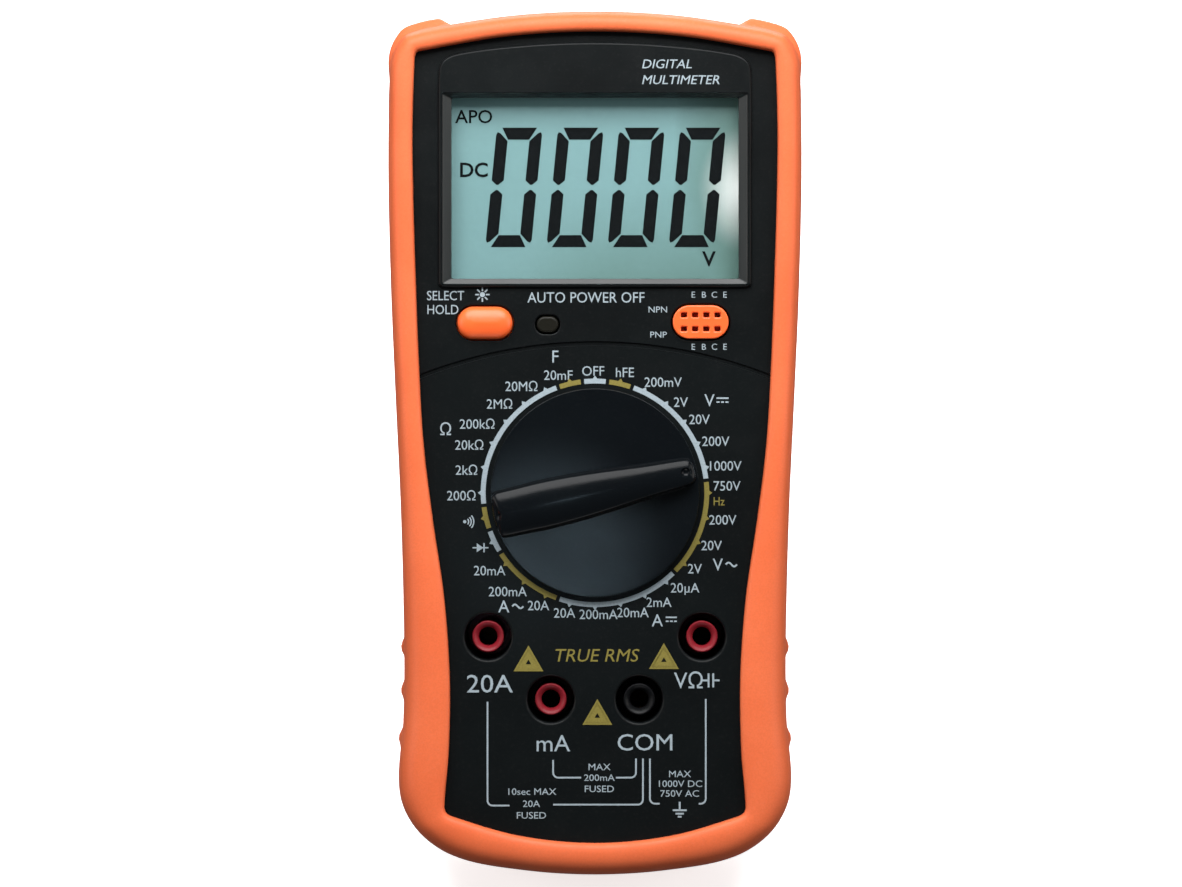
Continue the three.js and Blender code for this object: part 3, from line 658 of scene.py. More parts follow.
def display_liquid(colours):
    """The display's grey-green glass, with a painted highlight at its right-hand edge and a faint painted glow."""
    material, tree, shader, vector = started("display_liquid")
    green, foot, painted_shine = (soft_patch(tree, vector, *patch)
                           for patch in (GREEN_EDGE, GREEN_FOOT, PAINTED_HIGHLIGHT))
    greener = math_node(tree, "MAXIMUM", green, foot)
    tinted = mixed_colour(tree, greener, tuple(colours.display), linear(70, 100, 86))
    drift = noise_node(tree, vector, 25.0)
    cooler = ranged(tree, drift, 0.35, 0.7, 0.0, 0.35)
    base = mixed_colour(tree, cooler, tinted, linear(106, 146, 150))
    # painted highlight: the colour is paled towards white over that patch
    lit = mixed_colour(tree, painted_shine, base, (0.95, 1.0, 0.98))
    tree.links.new(lit, shader.inputs["Base Color"])
    # painted glow: the display is no lamp, but it gives off a little of its own colour, painted highlight included
    tree.links.new(lit, shader.inputs["Emission Color"])
    shader.inputs["Emission Strength"].default_value = 0.06
    set_roughness(tree, shader, drift, 0.3, 0.7, (0.35, 0.5))
    return material


# ---------------------------------------------------------------- what a user would change


def colour_property(name, description, *screen):
    return FloatVectorProperty(name=name, description=description, subtype="COLOR", size=3,
                               min=0.0, max=1.0, default=linear(*screen))


def length_property(name, description, millimetres, most):
    return FloatProperty(name=name, description=description, default=millimetres * MM, min=0.0,
                         max=most * MM, unit="LENGTH", subtype="DISTANCE", precision=5)


class MeterSizes(PropertyGroup):
    """Sizes of the meter's surface details, its figures and its picture."""

    rib_height: length_property("Grip rib height", "How far the grip ribs stand out", 0.75, 1.5)
    pad_height: length_property("Corner pad height", "How far the top corner pads stand out", 2.0, 2.3)
    groove_width: length_property("Groove width", "Width of the arc over the selector", 1.0, 2)
    figure_height: length_property("Figure height", "Height of the display's figures", 25.8, 30)
    figure_stroke: length_property("Figure stroke", "Width of the display's segments", 2.6, 4)
    figure_slant: FloatProperty(name="Figure slant", description="Lean of the display's figures",
                                default=math.radians(5.6), min=0.0, max=0.3, subtype="ANGLE")
    print_height: length_property("Print height", "Cap height of the printed ranges", 2.05, 3)
    camera_distance: FloatProperty(name="Camera distance", description="From the face to the camera",
                                   default=0.9, min=0.3, max=3.0, unit="LENGTH", subtype="DISTANCE")
    turning_steps: IntProperty(name="Turning steps", description="Steps round each jack sleeve",
                               default=64, min=24, max=128)


class MeterColours(PropertyGroup):
    """Colours of the meter's finishes."""

    rubber: colour_property("Holster", "The holster's rubber", 226, 110, 68)
    rubber_shade: colour_property("Holster shade", "The rubber's darker drift", 220, 102, 60)
    panel: colour_property("Panel", "The front case", 13, 17, 18)
    panel_shade: colour_property("Panel shade", "The front case's darker drift", 10, 13, 14)
    knob: colour_property("Selector", "The selector's plastic", 9, 12, 15)
    pale_ink: colour_property("Pale ink", "Most of the printing", 150, 164, 172)
    yellow_ink: colour_property("Yellow ink", "Marks for ranges that use the select button", 124, 113, 44)
    display: colour_property("Display", "The liquid crystal's background", 112, 151, 152)
    figures: colour_property("Figures", "The display's segments", 8, 10, 12)
    button: colour_property("Button", "The button and the transistor socket", 250, 110, 52)
    jack_red: colour_property("Red jacks", "The three red jack sleeves", 130, 28, 38)
    floor: colour_property("Bench", "The surface that the meter stands on", 250, 250, 250)


# ---------------------------------------------------------------- holster

RIB_PLACES = (29.5, 39.7, 49.0)
RIB_RADIUS = 2.9
RIB_SPAN = (6.3, 30.2, 2.0)  # the heights it starts and stops at, and the length of its run-out
PAD_SPAN = (6.0, 30.2, 2.2)
PAD_START = 30.4  # from the middle line to the corner pads
PAD_RISE = 3.4
SIDES_FROM = 35.0  # the holster's sides lie farther out than this
TOP_FROM = 165.0
RUBBER_THICK = 3.0
RUBBER_BACK = 2.2
# the lip as shares of the way from the panel to the outside, then heights down the side and
# insets with heights round the two back edges
LIP = ((0.0, 35.7), (0.02, 36.2), (0.07, 36.6), (0.16, 36.88), (0.28, 37.0), (0.42, 36.97),
       (0.56, 36.75), (0.69, 36.3), (0.80, 35.5), (0.89, 34.3), (0.94, 33.1), (0.973, 31.9),
       (0.992, 30.9))
SIDE = (30.2, 29.7, 29.2, 28.7, 28.2, 27.6, 26, 22, 18, 14, 10.5, 9, 8.4, 7.8, 7.2, 6.6, 6.0)
BACK_EDGE = ((0.1, 4.9), (0.4, 3.4), (1.1, 1.9), (2.1, 0.8), (3.2, 0.2), (4.4, 0.0))
WINDOW_EDGE = ((-0.3, 0.0), (-0.1, 0.1), (0.0, 0.35), (0.0, RUBBER_BACK))


def smoothly(share):
    share = min(max(share, 0.0), 1.0)
    return share * share * (3 - 2 * share)


def run_out(z, span):
    """1 along the height that a detail spans, fading to 0 at both its ends."""
    start, end, length = span
    return smoothly((z - start) / length) * smoothly((end - z) / length)


def swelling(point, outward, z, sizes):
    """How far the grip ribs and the corner pads stand out of the holster's side."""
    rib = pad = 0.0
    if abs(point.x) > SIDES_FROM:
        rib = max(math.sqrt(max(0.0, RIB_RADIUS ** 2 - (point.y - y) ** 2)) for y in RIB_PLACES)
        rib = (rib - RIB_RADIUS + sizes.rib_height / MM) * run_out(z, RIB_SPAN)
    if point.y > TOP_FROM:
        pad = smoothly((abs(point.x) - PAD_START) / PAD_RISE) * max(0.0, outward.y) ** 0.7
        pad *= sizes.pad_height / MM * run_out(z, PAD_SPAN)
    return max(rib, pad, 0.0)


def holster_mesh(sizes):
    inner, outer = panel_outline(), holster_outline()
    outward = [(q - p).normalized() for p, q in zip(inset(outer, 1), outer)]
    cavity, window = inset(outer, RUBBER_THICK), window_outline()
    rings = [(inner, LIP_BACK)] + [(mix(inner, outer, share), z) for share, z in LIP]
    for z in SIDE:
        rings.append(([p + n * swelling(p, n, z, sizes) for p, n in zip(outer, outward)], z))
    rings += [(inset(outer, distance), z) for distance, z in BACK_EDGE]
    rings += [(inset(window, distance), z) for distance, z in WINDOW_EDGE]
    rings += [(cavity, RUBBER_BACK), (cavity, LIP_BACK), (inner, LIP_BACK)]
    bm = bmesh.new()
    loft(bm, rings)
    tidy_mesh(bm)
    cut_at_bench(bm)
    return bm


def cut_at_bench(bm):
    """Cuts a shape off level with the bench and closes it there."""
    level = FLAT_FROM_LEANT.translation
    upright = (FLAT_FROM_LEANT.to_3x3() @ Vector((0, 0, 1))).normalized()
    everything = bm.verts[:] + bm.edges[:] + bm.faces[:]
    cut = bmesh.ops.bisect_plane(bm, geom=everything, dist=1e-5, plane_co=level, plane_no=upright,
                                 clear_inner=True)
    edges = [g for g in cut["geom_cut"] if isinstance(g, bmesh.types.BMEdge)]
    if edges:
        bmesh.ops.triangle_fill(bm, edges=edges, use_beauty=True)


class METER_OT_holster(Operator):
    """Moulds the rubber holster with its soft lip, grip ribs and corner pads"""

    bl_idname = "meter.holster"
    bl_label = "Holster"

    def execute(self, context):
        sizes, colours = context.scene.meter_sizes, context.scene.meter_colours
        rubber = moulding("holster_rubber", tuple(colours.rubber), tuple(colours.rubber_shade),
                          rough=(0.42, 0.55), grain=2600.0, dust=0.03, gloss=0.2)
        place("holster_body", holster_mesh(sizes), rubber, "housing",
              ["holster"], sharp=50)
        return {"FINISHED"}


# ---------------------------------------------------------------- front panel

CASE_INSET = 3.3  # from the holster's outline to the case's outside, and then to its inside
CASE_INSIDE = 5.5
FRONT_FOOT = PARTING + 0.3
UNDER = 31.8  # the underside of the face
SHAFT_RADIUS = 9.5
FIT = 0.3  # gap round what sits in the face
# middle, width and height
BUTTON = (-23.65, 118.9, 11.9, 7.0)
LAMP = (-10.2, 118.6, 4.8, 3.6)
SOCKET = (22.7, 119.1, 12.0, 7.2)
DISPLAY = (30.9, 128.4, 167.4)  # half its width, its foot and its head
BEZEL = (1.9, 1.25, 0.9)  # its width at the sides, below and above
JACKS = {"20a": (-23, 51.5), "ma": (-9.5, 38), "com": (9.5, 38), "v": (23, 51.5)}
GROOVE = (0, 11.5, 103.0)  # centre and radius of the arc over the selector
GROOVE_REACH = 38.8
GROOVE_DEPTH = 0.45
# radius and height down the outside of a jack's well, then up its bore to the rounded mouth
WELL = ((6.4, UNDER), (6.4, 13), (5, 13), (5, 33.3), (5.04, 33.6), (5.18, 33.84), (5.4, 33.97),
        (5.6, FACE))


def stadium(shape, grow=0.0):
    x, y, width, height = shape
    w, h = width / 2 + grow, height / 2 + grow
    return rounded_box(x - w, x + w, y - h, y + h, h - 0.02, steps=12)


def display_box(share):
    """A loop between the display's opening, at 0, and the outside of its bezel, at 1."""
    half, foot, head = DISPLAY
    side, below, above = (share * edge for edge in BEZEL)
    return rounded_box(-half - side, half + side, foot - below, head + above, 0.5, steps=4)


def groove_outline(width):
    """A band along the arc, run out under the holster's lip at both ends."""
    x, y, radius = GROOVE
    reach = math.asin(GROOVE_REACH / radius)
    start, end = math.pi / 2 - reach, math.pi / 2 + reach
    outer = arc(x, y, radius + width / 2, start, end, 60)
    return outer + arc(x, y, radius - width / 2, end, start, 60)


def front_case_mesh(sizes):
    inner, wall = (inset(holster_outline(), distance) for distance in (CASE_INSIDE, CASE_INSET))
    bm = bmesh.new()
    low, high = loft(bm, [(inner, UNDER), (inner, FRONT_FOOT)]
                     + rounded_walls(wall, FRONT_FOOT, FACE, 1.2))
    under, face = [low], [high]
    field_low, field = loft(bm, rounded_walls(plateau_outline(), FACE, PLATEAU, 0.5))
    face.append(field_low)
    opening_low, opening = loft(bm, [(display_box(1.0), UNDER), (display_box(1.0), PLATEAU - 0.15),
                                     (display_box(1.06), PLATEAU)])
    under.append(opening_low)
    holes = [[(circle(x, y, radius, 56), z) for radius, z in WELL] for x, y in JACKS.values()]
    holes += [rounded_walls(stadium(shape, FIT), UNDER, FACE, 0.25, hole=True)
              for shape in (BUTTON, LAMP, SOCKET)]
    holes.append([(circle(0, SELECTOR_Y, SHAFT_RADIUS), z) for z in (UNDER, FACE)])
    for rings in holes:
        low, high = loft(bm, rings)
        under.append(low)
        face.append(high)
    band = groove_outline(sizes.groove_width / MM)
    low, high = loft(bm, [(inset(band, 0.12), FACE - GROOVE_DEPTH), (band, FACE)])
    fill(bm, low)
    face.append(high)
    fill(bm, *face)
    fill(bm, field, opening)
    fill(bm, *under)
    return bm


class METER_OT_front_panel(Operator):
    """Moulds the front case with its raised display field, jack wells and groove"""

    bl_idname = "meter.front_panel"
    bl_label = "Front panel"

    def execute(self, context):
        sizes, colours = context.scene.meter_sizes, context.scene.meter_colours
        plastic = moulding("panel_plastic", tuple(colours.panel), tuple(colours.panel_shade),
                           rough=(0.34, 0.42), grain=3800.0, dust=0.01, strength=0.12, gloss=0.12)
        place("front_case_body", front_case_mesh(sizes), plastic, "housing",
              ["front_case"])
        return {"FINISHED"}


# ---------------------------------------------------------------- display

FIGURE_PLACES = (-17.5, -4.3, 8.9, 22.1)
FIGURE_Y = 148.3
FIGURE_HALF_WIDTH = 4.95
GLASS_TOP = 29.6
# words, x, y, cap height and weight
DISPLAY_WORDS = (("DC", -26.2, 152.1, 3.0, 0.09), ("V", 24.6, 132.9, 3.1, 0.09),
                 ("APO", -26.1, 163.6, 2.8, 0.04))
# the bezel's share of its width and the height there, from its lip to its outside
BEZEL_RISE = ((0.88, 34.62), (0.96, 34.75), (0.98, 34.7), (0.98, UNDER))


def corner_cut(points, size):
    """The polygon with its first corner cut off at a slant."""
    first, ahead, behind = points[0], points[1], points[-1]
    leave = first + (ahead - first).normalized() * size
    arrive = first + (behind - first).normalized() * size
    soft = first + (leave + arrive - 2 * first) * 0.3
    return [arrive, soft, leave] + points[1:]


def segment_shapes(half_width, half_height, stroke, gap):
    """The six lit segments of a nought, about its middle."""
    w, h, s = half_width, half_height, stroke
    long, short = w - gap - 0.9, w - s - gap * 0.2
    top = vectors(((-long, h), (long, h), (short, h - s), (-short, h - s)))
    right = corner_cut(vectors(((w, h - gap), (w, 1.5), (w - s * 0.42, 0.55), (w - s * 0.58, 0.55),
                                (w - s, 1.5), (w - s, h - s - gap))), 1.3)
    shapes = [top, right, mirrored(right)]
    return shapes + [[Vector((p.x, -p.y)) for p in reversed(shape)] for shape in shapes]


def figures_mesh(sizes):
    bm = bmesh.new()
    half_height, stroke = sizes.figure_height / MM / 2, sizes.figure_stroke / MM
    slant = math.tan(sizes.figure_slant)
    for x in FIGURE_PLACES:
        for shape in segment_shapes(FIGURE_HALF_WIDTH, half_height, stroke, 0.3):
            points = [Vector((x + p.x + p.y * slant, FIGURE_Y + p.y)) for p in shape]
            add_patch(bm, points, GLASS_TOP + 0.01, 0.03)
    for words, x, y, height, weight in DISPLAY_WORDS:
        add_lettering(bm, words, height, x, y, GLASS_TOP + 0.03, weight=weight)
    return bm


def bezel_mesh():
    """The frame round the opening, its lip lying a little higher along the foot."""
    inside = display_box(0.0)
    lip = [34.2 if p.y < DISPLAY[1] + 0.6 else 33.5 for p in inside]
    rings = [(inside, UNDER), (inside, [z - 0.1 for z in lip]), (display_box(0.04), lip)]
    rings += [(display_box(share), z) for share, z in BEZEL_RISE]
    bm = bmesh.new()
    loft(bm, rings + [(inside, UNDER)])
    return bm


def plate_like(node, corner, edge):
    """A plate of the size of a CAD node, with round corners and a softened upper edge."""
    low, high = flat_box(node)
    bm = bmesh.new()
    plate(bm, rounded_box(low.x, high.x, low.y, high.y, corner), low.z, high.z, edge)
    return bm


class METER_OT_display(Operator):
    """Makes the display: its bezel, liquid-crystal plate, figures and clear window"""

    bl_idname = "meter.display"
    bl_label = "Display"

    def execute(self, context):
        sizes, colours = context.scene.meter_sizes, context.scene.meter_colours
        bezel = moulding("bezel_plastic", linear(19, 25, 26), linear(15, 21, 22), rough=(0.3, 0.36),
                         grain=5200.0, dust=0.0, strength=0.02, gloss=0.35)
        dark = ink("segment_dark", tuple(colours.figures), linear(12, 15, 17), gloss=0.05)
        clear = clear_plate("window_clear_plastic", (0.02, 0.03, 0.03))
        place("display_bezel", bezel_mesh(), bezel, "housing", sharp=25)
        place("liquid_crystal_plate", plate_like("lcd_panel", 0.4, 0.1), display_liquid(colours),
              "housing", ["lcd_panel"])
        place("display_figures", figures_mesh(sizes), dark, "housing", tidy=False)
        place("window_plate", plate_like("display_window", 0.5, 0.15), clear, "housing",
              ["display_window"])
        return {"FINISHED"}


# ---------------------------------------------------------------- selector

POSITIONS = 28
POSITION_STEP = 2 * math.pi / POSITIONS
POINTING = math.pi / 2 - 6 * POSITION_STEP  # towards the sixth position after OFF
DISC_RADIUS = 22.4
# half the ridge's plan, then its height and how far it has grown, from its foot up
RIDGE = ((21.9, 0.0), (21.7, 1.7), (20.9, 2.6), (18.8, 2.95), (12, 3.4), (0, 4.5), (-10, 5.0),
         (-17, 4.9), (-21.0, 4.8), (-21.7, 4.4), (-22.0, 3.4), (-22.3, 0.0))
RIDGE_FOOT = ((36.3, 0.45), (36.5, 0.22), (36.8, 0.1), (37.6, 0.0), (39.3, -0.12), (39.75, -0.2),
              (39.95, -0.3), (40.05, -0.5))
RIDGE_DROOP = 0.9
ARCH_BASE = 40.05
ARCH_SLOPE = 0.22
ARCH_STEPS = 9
DIMPLE = (19.9, 0, 40.25)
DIMPLE_RADIUS = 1.2
# radius and height round the disc and its hub
DISC = ((0, 30.5), (8.8, 30.5), (9, 30.7), (9, 34.3), (21.6, 34.3), (22.2, 34.4), (22.4, 34.8),
        (22.4, 36.2), (22.34, 36.38), (22.2, 36.45), (20, 36.4), (0, 36.2))


def ridge_outline():
    lower = [(x, -y) for x, y in reversed(RIDGE[1:-1])]
    return sampled(through([*RIDGE, *lower], closed=True), 140)


def on_disc(points):
    """The points, drawn in where they would overhang the disc."""
    limit = DISC_RADIUS - 0.15
    return [p * min(1.0, limit / max(p.length, 0.01)) for p in points]


def ridge_heights(points, z):
    """Heights of a loop of the ridge, whose upper part falls away towards its ends."""
    droop = RIDGE_DROOP * smoothly((z - 37.5) / 2.5)
    return [z - droop * (p.x / 22) ** 2 for p in points]


def ridge_mesh():
    """The pointer ridge: steep flanks, then an arched back that falls away towards its ends."""
    shape = ridge_outline()
    rings = [(on_disc(inset(shape, -grow)), ridge_heights(shape, z)) for z, grow in RIDGE_FOOT]
    top = inset(shape, 0.5)
    for k in range(1, ARCH_STEPS + 1):
        share = max(1 - k / ARCH_STEPS, 0.03)
        points = [Vector((p.x * (1 - 0.04 * (1 - share)), p.y * share)) for p in top]
        rise = [ARCH_SLOPE * abs(p.y) * (1 - share * share) for p in top]
        level = ridge_heights(points, ARCH_BASE)
        rings.append((points, [z + r for z, r in zip(level, rise)]))
    bm = bmesh.new()
    low, high = loft(bm, rings)
    fill(bm, low)
    fill(bm, high)
    tidy_mesh(bm)
    return bm


def carved(bm, cutter):
    """The first shape with the second one cut out of it."""
    made = []
    for name, shape in (("body", bm), ("cutter", cutter)):
        tidy_mesh(shape)
        made.append(new_object(name, mesh_from(name, shape)))
    body, tool = made
    cut = body.modifiers.new("cut", "BOOLEAN")
    cut.operation, cut.object, cut.solver = "DIFFERENCE", tool, "EXACT"
    graph = bpy.context.evaluated_depsgraph_get()
    result = bmesh.new()
    result.from_mesh(body.evaluated_get(graph).to_mesh())
    for piece in made:
        mesh = piece.data
        bpy.data.objects.remove(piece)
        bpy.data.meshes.remove(mesh)
    return result


def knob_mesh():
    """The selector: its pointer ridge, with a dimple near the tip, on a turned disc."""
    dimple = bmesh.new()
    bmesh.ops.create_icosphere(dimple, subdivisions=3, radius=DIMPLE_RADIUS,
                               matrix=Matrix.Translation(DIMPLE))
    bm = carved(ridge_mesh(), dimple)
    spun(bm, DISC, 0, 0, 96)
    return bm


class METER_OT_selector(Operator):
    """Turns the selector's disc and raises its pointer ridge"""

    bl_idname = "meter.selector"
    bl_label = "Selector"

    def execute(self, context):
        colours = context.scene.meter_colours
        plastic = moulding("selector_plastic", tuple(colours.knob), linear(12, 16, 19),
                           rough=(0.16, 0.2), grain=3000.0, dust=0.005, strength=0.25, gloss=0.12)
        turn = Matrix.Translation((0, SELECTOR_Y, 0)) @ Matrix.Rotation(POINTING, 4, "Z")
        place("selector_pointer_knob", knob_mesh(), plastic, "selector",
              ["selector_knob"], turn=turn, sharp=40)
        return {"FINISHED"}


# ---------------------------------------------------------------- button, lamp and transistor socket

# the button's flange, which holds it in the case, and the stem under it
FLANGE_WIDTH = 1.2
FLANGE_HEIGHTS = (29.9, 31.4)
STEM = ((0, 28.3), (1.75, 28.3), (1.75, 30.2), (0, 30.2))
SOCKET_PITCH = (2.4, 3.0)
SOCKET_HOLE = (0.65, 0.5)  # half its width and half its height
SOCKET_HEIGHTS = (24.8, 31.0, 34.9)  # its foot, the floor of its holes and its top
LAMP_HEIGHTS = (26.6, 33.7)
# insets and heights from the button's side to its top
BUTTON_DOME = ((0.0, 34.0), (0.08, 34.6), (0.3, 35.05), (0.75, 35.45), (1.3, 35.73), (1.9, 35.94),
               (2.5, 36.08), (3.0, 36.16), (3.3, 36.2))


def button_mesh():
    bm = bmesh.new()
    rings = [(stadium(BUTTON, FLANGE_WIDTH), z) for z in FLANGE_HEIGHTS]
    rings.append((stadium(BUTTON), FLANGE_HEIGHTS[1]))
    rings += [(stadium(BUTTON, -inward), z) for inward, z in BUTTON_DOME]
    low, high = loft(bm, rings)
    fill(bm, low)
    fill(bm, high)
    spun(bm, STEM, BUTTON[0], BUTTON[1], 24)
    return bm


def socket_mesh():
    foot, floor, top = SOCKET_HEIGHTS
    w, h = SOCKET_HOLE
    holes = []
    for row in (-0.5, 0.5):
        for column in (-1.5, -0.5, 0.5, 1.5):
            x, y = SOCKET[0] + column * SOCKET_PITCH[0], SOCKET[1] + row * SOCKET_PITCH[1]
            holes.append((rounded_box(x - w, x + w, y - h, y + h, 0.2, steps=3), floor))
    bm = bmesh.new()
    plate(bm, stadium(SOCKET), foot, top, 0.3, holes)
    return bm


class METER_OT_controls(Operator):
    """Makes the push button, the lamp's lens and the transistor socket"""

    bl_idname = "meter.controls"
    bl_label = "Button, lamp and socket"

    def execute(self, context):
        colours = context.scene.meter_colours
        orange = moulding("button_plastic", tuple(colours.button), linear(244, 98, 44), rough=(0.3, 0.38),
                          grain=5200.0, dust=0.0, strength=0.2)
        place("push_button", button_mesh(), orange, "button", ["function_button"])
        place("transistor_socket_body", socket_mesh(), orange, "housing",
              ["transistor_socket"])
        lens = moulding("lamp_lens_plastic", linear(22, 22, 18), linear(26, 25, 20), rough=(0.3, 0.38),
                        grain=5200.0, dust=0.0, strength=0.1, gloss=0.12)
        bm = bmesh.new()
        plate(bm, stadium(LAMP), *LAMP_HEIGHTS, 0.5)
        place("lamp_lens_body", bm, lens, "housing", ["indicator_lens"])
        return {"FINISHED"}


# ---------------------------------------------------------------- test-lead jacks

# radius and height round a sleeve, from its foot out, up and back down its bore
SLEEVE = ((2.85, 13.3), (4.7, 13.3), (4.7, 15.0), (3.4, 15.0), (3.4, 32.8), (3.33, 33.05),
          (3.18, 33.17), (3.0, 33.15), (2.5, 32.75), (2.2, 32.45), (2.05, 32.2), (2.0, 31.9),
          (2.0, 30.0), (2.85, 30.0))


class METER_OT_jacks(Operator):
    """Turns the sleeves of the four test-lead jacks"""

    bl_idname = "meter.jacks"
    bl_label = "Test-lead jacks"

    def execute(self, context):
        sizes, colours = context.scene.meter_sizes, context.scene.meter_colours
        red = moulding("jack_red_plastic", tuple(colours.jack_red), linear(112, 22, 32),
                       rough=(0.34, 0.44), grain=4200.0, dust=0.0, gloss=0.2)
        black = moulding("jack_black_plastic", linear(14, 15, 17), linear(10, 11, 12),
                         rough=(0.34, 0.44), grain=4200.0, dust=0.0, gloss=0.12)
        for name, (x, y) in JACKS.items():
            common = name == "com"
            bm = bmesh.new()
            spun(bm, SLEEVE + SLEEVE[:1], x, y, sizes.turning_steps)
            place(f"jack_{name}_sleeve", bm, black if common else red, "housing",
                  [f"jack_sleeve_{name}"])
        return {"FINISHED"}


# ---------------------------------------------------------------- printing

RANGES = (  # words and their middle
    ("OFF", -0.4, 108.6), ("hFE", 6.4, 108.3), ("200mV", 14.6, 106.2), ("2V", 18.4, 101.9),
    ("20V", 22.4, 98.2), ("200V", 25.9, 93.5), ("1000V", 27.8, 88.2), ("750V", 28.3, 83.9),
    ("200V", 27.4, 76.6), ("20V", 25.0, 71.1), ("2V", 21.4, 66.1), ("20µA", 19.3, 62.0),
    ("2mA", 13.7, 58.9), ("20mA", 8.1, 56.7), ("200mA", 0.7, 56.3), ("20A", -6.6, 56.6),
    ("20A", -12.2, 58.2), ("200mA", -18.8, 61.2), ("20mA", -22.7, 65.7), ("200Ω", -28.7, 81.8),
    ("2kΩ", -27.6, 87.3), ("20kΩ", -27.0, 92.7), ("200kΩ", -25.3, 97.2), ("2MΩ", -20.5, 101.5),
    ("20MΩ", -15.8, 105.3), ("20mF", -7.9, 107.7),
)
GROUPS_OF_RANGES = (("F", -8.6, 111.7), ("Ω", -32.1, 96.1), ("V", 24.6, 102.3), ("A", 13.4, 55.0),
                    ("V", 26.4, 67.0), ("A", -19.6, 58.0))
LABELS = (  # words, x, y, cap height, width share
    ("AUTO POWER OFF", -1.9, 124.4, 2.25, 0.9),
    ("NPN", 13.5, 121.8, 1.3, 1.1), ("PNP", 13.6, 116.4, 1.3, 1.1),
    ("20A", -22.7, 41.4, 3.8, 1.1), ("VΩ", 20.2, 42.1, 3.4, 0.95),
    ("mA", -9.1, 28.6, 3.5, 1.03), ("COM", 10.8, 28.8, 3.5, 1.06),
    ("10sec MAX", -13.7, 18.2, 1.4, 1.12), ("20A", -13.7, 15.6, 1.4, 1.12),
    ("FUSED", -13.7, 13.1, 1.4, 1.12), ("MAX", 0.9, 23.5, 1.4, 1.12),
    ("200mA", 0.9, 21.2, 1.4, 1.12), ("FUSED", 0.9, 18.8, 1.4, 1.12),
    ("MAX", 18.2, 22.0, 1.4, 1.12), ("1000V DC", 18.2, 19.9, 1.4, 1.12),
    ("750V AC", 18.2, 17.8, 1.4, 1.12),
)
BUTTON_LABELS = (("SELECT", -36.2, 124.8), ("HOLD", -36.2, 121.8))  # words and their left end
BRACKETS = (  # lines with one corner each
    ((-23.1, 37.5), (-23.1, 15.2), (-18.4, 15.2)), ((-9.0, 15.4), (10.3, 15.4), (10.3, 25.3)),
    ((-9.0, 25.0), (-9.0, 21.2), (-3.0, 21.2)), ((4.5, 21.2), (8.8, 21.2), (8.8, 25.3)),
    ((11.8, 25.3), (11.8, 15.6), (13.9, 15.6)), ((23.8, 38.1), (23.8, 15.6), (22.3, 15.6)),
)
BRACKET_WIDTH = 0.36
TRANSISTOR_LETTERS = (21.1, 2.27)  # where each row of four starts, and its step
TRANSISTOR_ROWS = (125.0, 113.8)
RING = (23.5, 24.55)  # its inner and outer radius
TOOTH = ((-0.2, -0.026), (0.65, 0.0), (-0.2, 0.026))  # out from the ring, and round it
PALE_ARCS = ((0, 0), (2, 6), (11, 15), (19, 19), (21, 26))  # first and last position of each arc
YELLOW_ARCS = ((1, 1), (7, 10), (16, 18), (20, 20), (27, 27))
TRIANGLES = ((-14.3, 46.8), (14.8, 47.3), (0.5, 35.3))
TRIANGLE_BANDS = ((3.15, 0.55), (1.85, 1.15))  # reach of each band's corners, and its width
INK_Z = FACE + PRINT_LIFT


def rounded_corner(pairs, radius, steps=6):
    """A bent line whose one corner is rounded off."""
    a, corner, b = (Vector(p) for p in pairs)
    start = corner + (a - corner).normalized() * radius
    end = corner + (b - corner).normalized() * radius
    centre = start + end - corner
    u, v = start - centre, end - centre
    turns = (k / steps * math.pi / 2 for k in range(steps + 1))
    return [a] + [centre + u * math.cos(t) + v * math.sin(t) for t in turns] + [b]


def dial_angle(position):
    return math.pi / 2 - position * POSITION_STEP


def add_ring_arcs(bm, arcs):
    """Arcs of the dial's ring, with a small tooth at each position."""
    for first, last in arcs:
        start = dial_angle(first - 0.43)
        end = dial_angle(last + 0.43)
        steps = 6 * (last - first + 1)
        outside = arc(0, SELECTOR_Y, RING[1], end, start, steps)
        inside = arc(0, SELECTOR_Y, RING[0], start, end, steps)
        add_patch(bm, outside + inside, INK_Z, 0.03)
        for position in range(first, last + 1):
            tooth = []
            for beyond, aside in TOOTH:
                a, reach = dial_angle(position) + aside, RING[1] + beyond
                tooth.append(Vector((reach * math.cos(a), SELECTOR_Y + reach * math.sin(a))))
            add_patch(bm, tooth, INK_Z + 0.002, 0.03)


def add_star(bm, x, y, reach):
    """Eight short rays round a dot: the display light's mark."""
    for start, end in zip(circle(x, y, 0.75, 8), circle(x, y, reach, 8)):
        add_stroke(bm, [start, end], 0.3, INK_Z)
    add_patch(bm, circle(x, y, 0.55, 20), INK_Z)


def add_direct_mark(bm, x, y, wide):
    """A line over three dashes: direct current."""
    lines = [(x, wide / 2, y + 0.45)] + [(x + k * wide / 2.7, wide / 8, y - 0.4) for k in (-1, 0, 1)]
    for centre, half, level in lines:
        add_stroke(bm, [(centre - half, level), (centre + half, level)], 0.32, INK_Z)


def add_wave(bm, x, y, wide):
    """A wave: alternating current."""
    points = [(x - wide / 2 + wide * k / 16, y + 0.42 * math.sin(2 * math.pi * k / 16))
              for k in range(17)]
    add_stroke(bm, points, 0.36, INK_Z)


def add_diode(bm, x, y):
    """A triangle against a bar, with leads."""
    add_patch(bm, vectors(((x - 0.8, y + 0.95), (x - 0.8, y - 0.95), (x + 0.6, y))), INK_Z)
    add_stroke(bm, [(x + 0.75, y + 1.0), (x + 0.75, y - 1.0)], 0.3, INK_Z)
    add_stroke(bm, [(x - 1.7, y), (x + 1.7, y)], 0.26, INK_Z)


def add_buzzer(bm, x, y):
    """A dot and widening arcs: continuity."""
    add_patch(bm, circle(x, y, 0.35, 16), INK_Z)
    for radius in (0.85, 1.4, 1.95):
        add_stroke(bm, arc(x, y, radius, -0.75, 0.75, 10), 0.26, INK_Z)


